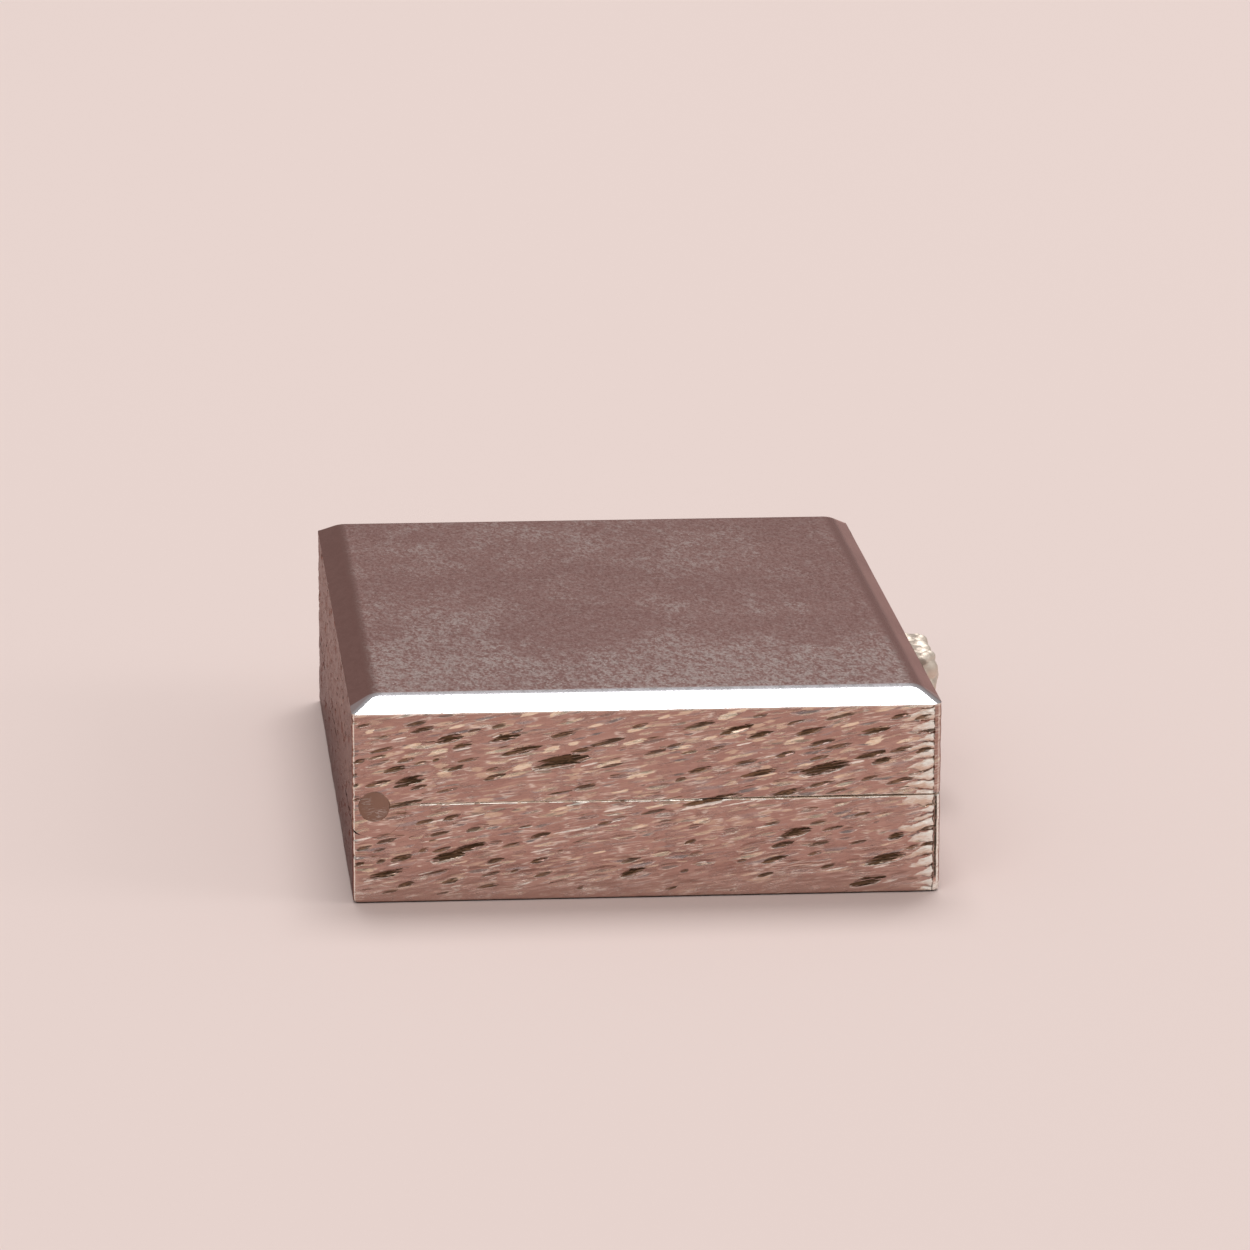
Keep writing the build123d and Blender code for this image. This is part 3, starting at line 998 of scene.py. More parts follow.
# The tree that cuts the strokes into a skin and notes where the marks lie
def makeStrokeTree(layerGroup, lipGroup):
    sockets = {
        "Geometry": "Geometry",
        "Hand Strokes": "Object",
        "Pale Strokes": "Object",
        "Depth": strokes["depth"],
        "Large Depth": strokes["bigDepth"],
        "Material": "Material",
    }
    tree, given, result = newGroup("cutStrokes", "GeometryNodeTree", sockets, ["Geometry"])

    def named(name, kind="FLOAT"):
        return wire(tree, "GeometryNodeInputNamedAttribute", {"Name": name}, data_type=kind)

    def layerCut(layer):
        return useLayer("GeometryNodeGroup", layerGroup, bent, layer)["Cut"]

    place = named("wallPlace", "FLOAT_VECTOR")
    bent = bentPlace(place)
    flat = turned(place, -strokes["tilt"]) * (1 / markStretch, 1.0, 0.0)
    offFront = offFrontFace(place)

    def fromMarks(holder):
        # how far along and across the nearest mark a point lies, in the mark's half sizes, and its depth
        marks = wire(tree, "GeometryNodeObjectInfo", {"Object": given[holder]}, "Geometry")
        sampled = {"Geometry": marks, "Sample Position": flat}
        nearest = wire(tree, "GeometryNodeSampleNearest", sampled, domain="POINT")

        def taken(value, kind="FLOAT"):
            sampled = {"Geometry": marks, "Value": value, "Index": nearest}
            return wire(tree, "GeometryNodeSampleIndex", sampled, data_type=kind, domain="POINT")

        away = flat - taken(wire(tree, "GeometryNodeInputPosition"), "FLOAT_VECTOR")
        across = away.y / taken(named("halfWidth"))
        along = away.x * markStretch / taken(named("halfLength"))
        return across * markForm["slant"] + along, across, taken(named("depth"))

    # small strokes everywhere, large ones at listed places on the front and scattered on the other sides
    small = most(*[layerCut(layer) * depth for layer, depth in zip(strokeLayers, layerDepths)])
    along, across, markDepth = fromMarks("Hand Strokes")
    wobble = noise(place * markForm["roughStretch"], 3.0) * markForm["rough"] + markForm["leastRough"]
    away = offFront * markForm["away"]
    reach = (abs(along) ** markForm["endPower"] + abs(across) ** 2.0) * wobble + away
    bowl = most(1.0 - reach, 0.0) ** markForm["bottomPower"]
    large = bowl * (across * markForm["lean"] + 1.0) * markDepth
    cut = most(small * given["Depth"], large, layerCut(wideLayer) * given["Large Depth"] * offFront)
    lips = useLayer("GeometryNodeGroup", lipGroup, place, {"Past Ridge": named("pastRidge")})
    notch = (1.0 - lips["Round"]) * lips["Zone"] + lips["Ridge"] * markForm["ridgeShare"]
    swell = ramp(noise(place * markForm["swellStretch"], 2.0), 0.3, 0.75) * markForm["swell"]
    cut = cut * named("depthGain") + swell + notch * strokes["lipDepth"]
    moved = {
        "Geometry": given["Geometry"],
        "Selection": named("onSkin").above(0.5),
        "Offset": named("outward", "FLOAT_VECTOR") * (cut * -mm),
    }
    shape = wire(tree, "GeometryNodeSetPosition", moved)

    paleAlong, paleAcross, paleKind = fromMarks("Pale Strokes")
    paleReach = abs(paleAlong) ** markForm["paleEndPower"] + abs(paleAcross) ** 2.0 + away
    stored = (
        calc("MINIMUM", reach, markForm["away"]),
        within(across, 1.5),
        within(along, 2.0),
        markDepth,
        calc("MINIMUM", paleReach, markForm["away"]),
        paleKind,
    )
    for name, value in zip(markValues, stored):
        layer = {"Geometry": shape, "Name": name, "Value": value}
        shape = wire(tree, "GeometryNodeStoreNamedAttribute", layer, data_type="FLOAT", domain="POINT")
    endTree(shape, given, result)
    return tree


def setInputs(modifier, values):
    # finds each input by its name and sets it by its identifier
    for item in modifier.node_group.interface.items_tree:
        if item.item_type == "SOCKET" and item.in_out == "INPUT" and item.name in values:
            modifier[item.identifier] = values[item.name]


def cutStrokes(piece, tree, marks, paleMarks, material):
    modifier = piece.modifiers.new("cutStrokes", "NODES")
    modifier.node_group = tree
    setInputs(modifier, {"Hand Strokes": marks, "Pale Strokes": paleMarks, "Material": material})
    settle(piece)
    piece.data.set_sharp_from_angle(angle=math.radians(50))


def settle(piece):
    # the modifiers' result becomes the piece's plain mesh
    graph = bpy.context.evaluated_depsgraph_get()
    shown = piece.evaluated_get(graph)
    made = bpy.data.meshes.new_from_object(shown, preserve_all_data_layers=True, depsgraph=graph)
    made.name = piece.name
    piece.modifiers.clear()
    piece.data = made
    made.polygons.foreach_set("use_smooth", [True] * len(made.polygons))


# Shader groups: each puts out masks and heights only
def makeHairScratches():
    given = {"Vector": "Vector", "Angle": 0.0, "Length": 3.0, "Spacing": 0.3, "Width": 0.03}
    tree, given, result = newGroup("hairScratches", "ShaderNodeTree", given, ["Line"])
    slanted = turned(given["Vector"], given["Angle"])
    stretched = slanted / combine(given["Length"], given["Spacing"], given["Spacing"])
    off = abs(noise(stretched, 1.5, Roughness=0.6) - 0.5)
    broken = noise(slanted + (31.0, 17.0, 5.0), 2.0, Scale=0.9)
    send(result, Line=ramp(off, 0.0, given["Width"], 1.0, 0.0) * ramp(broken, 0.45, 0.62))
    return tree


def makeTarnish():
    given = {"Vector": "Vector", "Size": 8.0, "Grain": 0.25}
    tree, given, result = newGroup("tarnish", "ShaderNodeTree", given, ["Patch", "Speck", "Cloud"])
    patch = noise(given["Vector"] * (1.0 / given["Size"]), 4.0, Roughness=0.55, Distortion=0.4)
    fine = given["Vector"] * (1.0 / given["Grain"])
    pattern = {"Vector": fine, "Scale": 1.0, "Randomness": 1.0}
    dots = outputsOf(addNode(tree, "ShaderNodeTexVoronoi", pattern))
    send(
        result,
        Patch=ramp(patch, 0.35, 0.68),
        Speck=ramp(dots["Distance"], 0.05, 0.3, 1.0, 0.0) * dots["Color"].x.above(0.72),
        Cloud=noise(fine, 3.0, Roughness=0.65),
    )
    return tree


def newMaterial(name):
    # a metal, with the place on the object in millimetres
    material = bpy.data.materials.new(name)
    material.use_nodes = True
    tree = material.node_tree
    tree.nodes.clear()
    shader = addNode(tree, "ShaderNodeBsdfPrincipled", {"Metallic": 1.0})
    tree.links.new(shader.outputs[0], tree.nodes.new("ShaderNodeOutputMaterial").inputs["Surface"])
    return material, shader, wire(tree, "ShaderNodeTexCoord", output="Object") * (1 / mm)


def useGroup(group, place, **inputs):
    name = "Place" if group == lipMasks else "Vector"
    return outputsOf(addNode(place.tree, "ShaderNodeGroup", {name: place, **inputs}, node_tree=group))


def mix(share, first, second):
    # a colour between two others, each a wire or the name of a tone
    node = addNode(share.tree, "ShaderNodeMix", {0: share}, data_type="RGBA")
    for socket, colour in ((node.inputs[6], first), (node.inputs[7], second)):
        feed(socket, colour if isinstance(colour, Wire) else (*tones[colour], 1.0))
    return Wire(node.outputs[2])


def attribute(tree, name, output="Fac"):
    return wire(tree, "ShaderNodeAttribute", output=output, attribute_name=name)


def coat(shader, colour, roughness, relief, depth):
    # feeds the shader what changes over the surface; depth is the relief's in millimetres
    bump = wire(relief.tree, "ShaderNodeBump", {"Height": relief, "Distance": depth * mm}, "Normal")
    send(shader, **{"Base Color": colour, "Roughness": roughness, "Normal": bump})


hairScratches = makeHairScratches()
tarnish = makeTarnish()
strokeMasks = makeStrokeLayer("ShaderNodeTree")
lipMasks = makeCornerLips("ShaderNodeTree")

# The silver tones are warm rose: partly tarnish, partly a painted reflection of reddish surroundings
tones = {
    "silver": (0.47, 0.285, 0.238),
    "silverDeep": (0.40, 0.225, 0.192),
    "silverPale": (0.63, 0.425, 0.365),
    "silverLight": (0.90, 0.78, 0.69),
    "cream": (0.88, 0.70, 0.52),
    "creamLight": (0.96, 0.84, 0.68),
    "blueGrey": (0.42, 0.37, 0.37),
    "brown": (0.20, 0.115, 0.068),
    "brownLight": (0.27, 0.15, 0.085),
    "brownDeep": (0.08, 0.045, 0.023),
    "grimeAndFootShade": (0.075, 0.062, 0.045),
    "lipShade": (0.78, 0.58, 0.46),
    "lipLight": (1.0, 0.94, 0.86),
    "sideShade": (0.19, 0.078, 0.066),
    "oxide": (0.048, 0.029, 0.016),
    "bright": (0.96, 0.90, 0.82),
    "castPale": (0.76, 0.675, 0.59),
    "castWarm": (0.64, 0.545, 0.45),
    "castCrevice": (0.10, 0.065, 0.045),
    "edgeTint": (0.31, 0.185, 0.165),
    "satin": (0.345, 0.213, 0.198),
    "satinWarm": (0.43, 0.275, 0.25),
    "satinLight": (0.92, 0.82, 0.79),
    "satinDark": (0.24, 0.14, 0.125),
    "satinEdge": (0.62, 0.47, 0.45),
    "bevel": (0.53, 0.35, 0.325),
    "bevelDark": (0.40, 0.255, 0.235),
    "bevelPaintedLight": (0.85, 0.56, 0.54),
    "bevelReflection": (0.80, 0.80, 0.84),
    "inner": (0.58, 0.50, 0.46),
    "innerDark": (0.30, 0.24, 0.21),
    "pin": (0.29, 0.178, 0.135),
    "pinDark": (0.19, 0.11, 0.08),
}

# The metal's grain in and between the strokes: stretch along and across them, then detail
grains = {
    "fibre": ((0.65, 7.5, 1.0), 3.0),
    "streak": ((0.4, 2.6, 1.0), 2.5),
    "shred": ((2.2, 10.0, 1.0), 2.0),
    "thread": ((0.3, 6.5, 1.0), 2.0),
}
gouged = {
    "patches": {"Size": 5.0, "Grain": 0.16},
    "hairs": {"Angle": -strokes["tilt"], "Length": 2.2, "Spacing": 0.13, "Width": 0.05},
    "glints": {"Angle": -strokes["tilt"] * 0.7, "Length": 3.4, "Spacing": 0.34, "Width": 0.045},
    "glintShift": (7.0, 3.0, 0.0),
    "relief": 0.014,
}
# Heights in millimetres between which each of these comes in
heights = {
    "paintedFootLight": (2.6, 0.4),
    "blobs": (2.0, 8.0),
    "underPlate": (sideTop - 0.2, sideTop - 0.03),
    "base": (case["baseRim"] + 0.1, case["baseRim"]),
    "ridge": (case["baseRim"] + 0.3, case["baseRim"]),
    "footLine": (0.95, 0.5),
    "brown": (0.6, 6.0),
    "strip": (0.9, 1.3),
    "sideShade": (9.5, 1.5),
    "grimeAndFootShade": (0.12, -0.12),
}
# The same for places past the corner's ridge
pastPlaces = {
    "whiterLips": (-0.9, -0.1),
    "outlineStart": (0.26, 0.32),
    "outlineEnd": (0.66, 0.5),
    "footLineStart": (-0.5, 0.1),
    "footLineEnd": (1.3, 1.0),
}


# Silver with cut strokes: a warm rose tone, partly tarnish and partly a painted reflection of reddish
# surroundings; brown in the upper side of each stroke with painted shade, cream on its lower lip as a
# painted highlight
def makeGougedSilver():
    material, shader, place = newMaterial("gougedSilver")
    wear, past, onSkin, reach, side, along, markDepth, paleReach, paleKind = [
        attribute(place.tree, name)
        for name in ("wear", "pastRidge", "onSkin", *markValues)
    ]
    wall = attribute(place.tree, "wallPlace", "Vector")
    height = wall.y
    bent = bentPlace(wall)
    slanted = turned(wall, -strokes["tilt"])
    fibre, streak, shred, thread = [noise(slanted * stretch, detail) for stretch, detail in grains.values()]
    marks = useGroup(tarnish, place, **gouged["patches"])
    hairs = useGroup(hairScratches, wall, **gouged["hairs"])["Line"]
    glints = useGroup(hairScratches, wall + gouged["glintShift"], **gouged["glints"])["Line"]

    def masks(layer):
        return useLayer("ShaderNodeGroup", strokeMasks, bent, layer)

    layers = [masks(layer) for layer in strokeLayers]
    dark, cream, grey, rim = [
        most(*[layer[name] * share for layer, share in zip(layers, layerShades)])
        for name in ("Dark", "Cream", "Grey", "Rim")
    ]
    offFront = offFrontFace(wall)
    wide = masks(wideLayer)["Dark"] * offFront
    blobs = ramp(fibre * 2.4 + masks(creamLayer)["Bowl"], 1.4, 1.75)
    blobs = blobs * ramp(marks["Patch"], 0.1, 0.6, 0.25, 0.9) * ramp(height, *heights["blobs"], 0.1, 0.7)
    grain, shreds, threads = fibre - 0.5, shred - 0.5, thread - 0.5
    big = ramp(markDepth, strokes["bigDepth"] * 0.6, strokes["bigDepth"] * 0.95)
    clear = ramp(reach, 0.95, 1.45)

    # the metal between the strokes: tarnish patches, streaks and hairlines, with painted reflections in
    # cream and grey, painted highlights in white, and painted light towards the foot
    warm = mix(marks["Patch"] * 0.4, "silver", "silverDeep")
    warm = mix(ramp(streak, 0.45, 0.7) * 0.35, warm, "silverPale")
    # painted reflections: cream and grey on the lower side of the small strokes
    warm = mix(cream * ramp(streak, 0.3, 0.6, 0.35, 0.95), warm, "cream")
    warm = mix(grey * 0.6, warm, "blueGrey")
    warm = mix(hairs * 0.12, warm, "blueGrey")
    # painted light: paler towards the foot, offsetting the floor's reflected shade there
    warm = mix(ramp(height, *heights["paintedFootLight"], 0.0, 0.75), warm, "silverPale")
    ripple = fract(reach * 2.0 + streak * 1.5)
    ripple = ramp(abs(ripple - 0.5), 0.14, 0.0) * ramp(reach, 2.6, 1.4)
    warm = mix(ripple * 0.25, warm, "blueGrey")
    # painted reflections as cream patches, then painted highlights as thin white glints
    warm = mix(blobs * 0.85, warm, "cream")
    warm = mix(glints * clear * 0.7, warm, "silverLight")
    # the listed pale strokes: cream painted reflections and white painted highlights
    paleTone = mix(paleKind, mix(ramp(shreds, -0.1, 0.1), "cream", "creamLight"), "bright")
    paleReach = grain * 3.6 + (shreds * 2.4 + paleReach)
    warm = mix(ramp(paleReach, 1.15, 0.6) * (onSkin * clear), warm, paleTone)

    # painted highlights on the lower rims of the strokes, edges that are worn and carry a painted highlight,
    # and a pale band under the plate
    markRim = ramp(abs(reach - 1.4), 0.4, 0.15) * ramp(side, -0.3, -0.7)
    markRim = markRim * ramp(fibre, 0.42, 0.52, 0.4, 1.0) * atLeast(0.5, big)
    underPlate = ramp(height, *heights["underPlate"]) * ramp(fibre, 0.4, 0.55, 0.6, 1.0)
    # edges: partly wear, partly a painted highlight
    wearAndHighlight = ramp(wear, 0.1, 0.6) * ramp(fibre, 0.35, 0.5, 0.75, 1.0)
    bright = most(rim * clear * ramp(marks["Cloud"], 0.35, 0.6), markRim, wearAndHighlight, underPlate)
    warm = mix(bright, warm, "bright")

    # pale lips at the corners as painted highlights, lighter on each lip's upper part and whiter towards the
    # ridge, then a pale outline
    lips = useGroup(lipMasks, wall, **{"Past Ridge": past})
    pale = lips["Zone"] * lips["Lip"]
    lipShare = lips["Upper"] * 0.7 + ramp(past, *pastPlaces["whiterLips"], -0.1, 0.45)
    lipTone = mix(clamped(shreds * 2.6 + lipShare), "lipShade", "lipLight")
    warm = mix(pale * ramp(fibre + lips["Round"], 0.5, 0.8, 0.5, 1.0), warm, lipTone)
    outline = ramp(past, *pastPlaces["outlineStart"]) * ramp(past, *pastPlaces["outlineEnd"])
    outline = outline * ramp(height, *heights["base"], 0.4, 1.0)
    footLine = ramp(past, *pastPlaces["footLineStart"]) * ramp(past, *pastPlaces["footLineEnd"])
    outline = most(outline, footLine * ramp(height, *heights["footLine"]))
    outline = outline * ramp(marks["Cloud"], 0.36, 0.52, 0.45, 0.95)
    warm = mix(outline, warm, "lipLight")

    # brown in the upper part of the small strokes, partly tarnish in the hollows and partly painted shade
    brown = most(dark * atLeast(0.5, offFront), wide) * ramp(height, *heights["brown"], 0.72, 1.0)
    brown = ramp(grain * 2.4 + brown, 0.42, 0.85)
    brown = most(brown, ramp(reach, 1.9, 0.9) * ramp(fibre, 0.48, 0.6, 0.0, 0.85))
    colour = mix(brown, warm, mix(ramp(streak, 0.4, 0.6), "brown", "brownDeep"))

    # the large strokes are darker, and their ends run out in fibres, more so to the right
    frayed = abs(threads * ramp(along, -1.0, 1.0, 3.0, 7.0) + along) ** 2.6
    torn = grain * 3.4 + (frayed + abs(shreds * 1.5 + side) ** 2.0)
    deep = ramp(torn, 1.1, 0.62) * (ramp(reach, 2.4, 1.7) * onSkin)
    deep = deep * ramp(markDepth, strokes["bigDepth"] * 0.46, strokes["bigDepth"] * 0.8, 0.7, 1.0)
    bottom = mix(atLeast(0.25, big) * ramp(fibre, 0.6, 0.44), "brownDeep", "oxide")
    lightFibre = ramp(threads * 1.5 + shreds, -0.06, 0.12) * (big * -0.6 + 0.95)
    colour = mix(deep, colour, mix(lightFibre, bottom, "brownLight"))

    # painted shade in brown between the lips, brown on the ridge, grime on the scraped strip, painted shade
    # and reflection on the hinge side, and painted shade at the foot
    # painted shade: brown in the seams between the lips
    teeth = lips["Zone"] * (1.0 - lips["Lip"]) * ramp(streak, 0.4, 0.55, 0.3, 1.0)
    colour = mix(teeth * 0.85, colour, mix(ramp(fibre, 0.4, 0.6), "brown", "brownDeep"))
    colour = mix(lips["Ridge"] * ramp(height, *heights["ridge"], 0.6, 0.9), colour, "brownDeep")
    strip = lips["Strip"] * ramp(height, *heights["ridge"], 0.15, 1.0) * ramp(height, *heights["strip"])
    strip = strip * ramp(marks["Cloud"], 0.36, 0.5, 0.5, 1.0)
    colour = mix(strip, colour, "grimeAndFootShade")
    # painted shade and painted reflection: the hinge side darker and redder, most towards the foot
    hingeFace = ramp(place.x, 0.14 - case["halfX"], 0.02 - case["halfX"])
    colour = mix(hingeFace * ramp(height, *heights["sideShade"], 0.24, 1.0), colour, "sideShade")
    # painted shade: the lowest edge of the foot darkened to the oxide colour
    grimeAndFootShade = ramp(height, *heights["grimeAndFootShade"])
    colour = mix(grimeAndFootShade, colour, "oxide")
    colour = mix(ramp(onSkin, 0.9, 0.4), colour, mix(marks["Patch"], "inner", "innerDark"))

    darkShare = most(brown * 0.6, deep, most(grimeAndFootShade, strip))
    rough = marks["Cloud"] * 0.14 + 0.16 + most(darkShare, pale * 0.6) * 0.35
    coat(shader, colour, rough, fibre * 0.9 - hairs * 0.5, gouged["relief"])
    send(shader, Metallic=1.0 - most(darkShare * 0.6, outline * 0.9, pale * 0.65))
    shader.inputs["Specular Tint"].default_value = (*tones["edgeTint"], 1.0)
    return material


# The lid's plate: worn satin on the flat, polished on the bevel, with a painted reflection on the front
# bevel and painted light on the thumb side's bevel
satin = {
    "patches": {"Size": 13.0, "Grain": 0.2},
    "fine": {"Size": 2.4, "Grain": 0.2},
    "fineStretch": (1.0, 0.45, 1.0),
    "specks": {"Size": 3.0, "Grain": 0.26},
    "speckTurns": ((0.1, (1.5, 0.6, 1.0)), (-0.25, (1.1, 0.5, 1.0))),
    "cloudTurn": (-0.25, (1.7, 0.8, 1.0)),
    "lighterSpot": (-14.0, -8.0, 0.0),
    "lighterFront": (-8.0, -26.0),
    "lighterLeft": (-17.0, -3.0),
    "paintedLightBevel": (17.0, 19.0),
    "frontBevelReflection": (-26.45, -26.75),
    "underside": (sideTop - 0.06, sideTop - 0.1),
    "relief": 0.016,
}


def makeSatinSilver():
    material, shader, place = newMaterial("satinSilver")
    polish = attribute(place.tree, "polish")
    marks = useGroup(tarnish, place, **satin["patches"])
    fine = useGroup(tarnish, place * satin["fineStretch"], **satin["fine"])
    specks = most(*[
        useGroup(tarnish, turned(place, angle) * stretch, **satin["specks"])["Speck"]
        for angle, stretch in satin["speckTurns"]
    ])
    angle, stretch = satin["cloudTurn"]
    cloudlets = noise(turned(place, angle) * stretch, 5.0, Roughness=0.75)

    # where the satin is lighter: towards the front, one spot on the left and some patches
    toFront = ramp(place.y, *satin["lighterFront"]) * ramp(place.x, *satin["lighterLeft"], 0.55, 1.0)
    fromSpot = calc("DISTANCE", place * (1.0, 0.7, 0.0), satin["lighterSpot"])
    often = toFront * 0.68 + ramp(fromSpot, 9.0, 2.0) * 0.36 + marks["Patch"] * 0.45
    lighter = ramp(fine["Patch"] * 0.4 + often, 0.2, 1.2, 0.15, 1.0)
    light = most(specks * ramp(fine["Cloud"], 0.42, 0.6), ramp(fine["Cloud"], 0.46, 0.7) * 0.55)
    light = clamped((light + ramp(cloudlets, 0.44, 0.66) * 0.75) * (lighter * 1.25))
    flat = mix(marks["Patch"] * 0.35, "satin", "satinWarm")
    flat = mix(light, flat, "satinLight")
    flat = mix(ramp(fine["Cloud"], 0.46, 0.34) * 0.4, flat, "satinDark")

    bevel = mix(marks["Cloud"] * 0.4 + ramp(cloudlets, 0.4, 0.6, 0.0, 0.4), "bevel", "bevelDark")
    # painted light: the bevel lighter towards the thumb side
    bevel = mix(ramp(place.x, *satin["paintedLightBevel"], 0.0, 0.5), bevel, "bevelPaintedLight")
    # painted reflection: the front bevel a pale blue-white
    colour = mix(ramp(place.y, *satin["frontBevelReflection"]), mix(polish, flat, bevel), "bevelReflection")
    underside = ramp(place.z, *satin["underside"])
    colour = mix(underside, colour, mix(marks["Patch"], "inner", "innerDark"))
    roughness = {0: polish, 2: fine["Cloud"] * 0.16 + 0.33 - light * 0.14, 3: marks["Cloud"] * 0.1 + 0.1}
    roughness = wire(place.tree, "ShaderNodeMix", roughness, data_type="FLOAT") + underside * 0.2
    relief = (fine["Cloud"] * 0.8 - specks) * (polish * -0.97 + 1.0)
    coat(shader, colour, roughness, relief, satin["relief"])
    shader.inputs["Specular Tint"].default_value = (*tones["satinEdge"], 1.0)
    return material


# Plain silver for the inside: drawn strip with long fine lines and tarnish
def makePlainSilver(name, tone, darkTone, roughness, angle, lineLength):
    material, shader, place = newMaterial(name)
    marks = useGroup(tarnish, place, Size=6.0, Grain=0.2)
    hairs = {"Angle": angle, "Length": lineLength, "Spacing": 0.12, "Width": 0.04}
    lines = useGroup(hairScratches, place, **hairs)["Line"]
    colour = mix(lines * 0.4, mix(marks["Patch"] * 0.6, tone, darkTone), "satinLight")
    coat(shader, colour, marks["Cloud"] * 0.14 + roughness, marks["Cloud"] - lines, 0.006)
    return material


# Bright cast silver of the thumb piece, dark between its grains
def makeBrightSilver():
    material, shader, place = newMaterial("brightSilver")
    marks = useGroup(tarnish, place, Size=1.6, Grain=0.14)
    crevice = attribute(place.tree, "crevice") * (marks["Cloud"] * 0.9 + 0.5)
    crevice = ramp(crevice, 0.3, 1.0, 0.0, 0.42)
    colour = mix(crevice, mix(marks["Patch"] * 0.3, "castPale", "castWarm"), "castCrevice")
    coat(shader, colour, marks["Cloud"] * 0.16 + 0.5 + crevice * 0.3, marks["Cloud"], 0.02)
    return material


gougedSilver = makeGougedSilver()
satinSilver = makeSatinSilver()
plainSilver = makePlainSilver("plainSilver", "inner", "innerDark", 0.28, math.pi / 2, 9.0)
pinSilver = makePlainSilver("pinSilver", "pin", "pinDark", 0.3, 0.12, 1.2)
brightSilver = makeBrightSilver()
print("materials made")


# Sides of the case, cut with strokes
strokeTree = makeStrokeTree(makeStrokeLayer("GeometryNodeTree"), makeCornerLips("GeometryNodeTree"))
darkMarks = handStrokes + faintStrokes
darkDepths = [strokes["bigDepth"] * min(1.0, 0.3 + width / 14) for _, _, _, width in darkMarks]
handMarks = makeMarks("handStrokes", darkMarks, darkDepths)
paleKinds = [0.0] * len(creamStrokes) + [1.0] * len(whiteStrokes)
paleMarks = makeMarks("paleStrokes", creamStrokes + whiteStrokes, paleKinds)
coarse = strokes["coarsePlace"]
wallPieces = []
for body in ("base", "lid"):
    for end, spacing in (("front", strokes["finePlace"]), ("back", coarse)):
        piece = endWall(body + end.capitalize() + "Wall", body, end, spacing)
        wallPieces.append((piece, body, f"{body}_{end}_wall"))
    for side in ("hinge", "thumb"):
        piece = longWall(body + side.capitalize() + "Wall", body, side, coarse)
        wallPieces.append((piece, body, f"{body}_{side}_wall"))
for zone in range(case["zones"]):
    body = "lid" if zone % 2 == 0 else "base"
    wallPieces.append((barrelPiece(zone, coarse), body, f"{body}_knuckle_{zone + 1}"))
for piece, body, node in wallPieces:
    cutStrokes(piece, strokeTree, handMarks, paleMarks, gougedSilver)
    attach(piece, body)
    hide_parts(node)
bpy.data.objects.remove(handMarks)
bpy.data.objects.remove(paleMarks)
print("sides cut,", sum(len(piece.data.polygons) for piece, _, _ in wallPieces), "faces")


def cornered(halfX, halfY, hingeCorner, thumbCorner, spacing=0.5, turns=9):
    # points round a rectangle with rounded corners, the same number for any radii
    corners = [(1, -1, thumbCorner, -90), (1, 1, thumbCorner, 0)]
    corners += [(-1, 1, hingeCorner, 90), (-1, -1, hingeCorner, 180)]
    counts = [int(2 * case["halfY"] / spacing), int(2 * case["halfX"] / spacing)] * 2
    arcs = []
    for sx, sy, radius, start in corners:
        middle = np.array([sx * (halfX - radius), sy * (halfY - radius)])
        angles = np.radians(np.linspace(start, start + 90, turns))
        arcs.append(middle + radius * np.stack([np.cos(angles), np.sin(angles)], -1))
    points = []
    for arc, following, count in zip(arcs, arcs[1:] + arcs[:1], counts):
        share = np.linspace(0, 1, count + 1)[1:-1, None]
        points += [arc, arc[-1] + (following[0] - arc[-1]) * share]
    return np.concatenate(points)


def ringPiece(name, rings, polish=None):
    # closed piece from rings of points and their heights, flat at both ends
    points = np.concatenate([np.column_stack([ring, np.zeros(len(ring)) + z]) for ring, z in rings])
    count = len(rings[0][0])
    numbers = [list(range(k * count, (k + 1) * count)) for k in range(len(rings))]
    faces = [quad for low, high in zip(numbers, numbers[1:]) for quad in quadsBetween(low, high)]
    mesh = solid(name, points, faces + [numbers[0][::-1], numbers[-1]])
    if polish is not None:
        writeValues(mesh, polish=np.repeat(polish, count))
    mesh.polygons.foreach_set("use_smooth", [True] * len(mesh.polygons))
    mesh.set_sharp_from_angle(angle=math.radians(30))
    return addObject(name, mesh)


# Lid plate, with a bevel that is soft where it meets the flat
plate = {
    "endBevel": 1.9,
    "sideBevel": 1.55,
    "topCorner": 0.5,
    "flatCorner": 0.4,
    "bevelShares": (0.03, 0.3, 0.6, 0.74),
    "softShares": (0.2, 0.4, 0.6, 0.8, 1.0),
    "softReach": 0.6,
    "polishedTo": 0.3,
    "lip": 0.3,
    "lipCorner": 0.2,
    "wander": 0.014,
    "waves": (5, 7, 11),
}


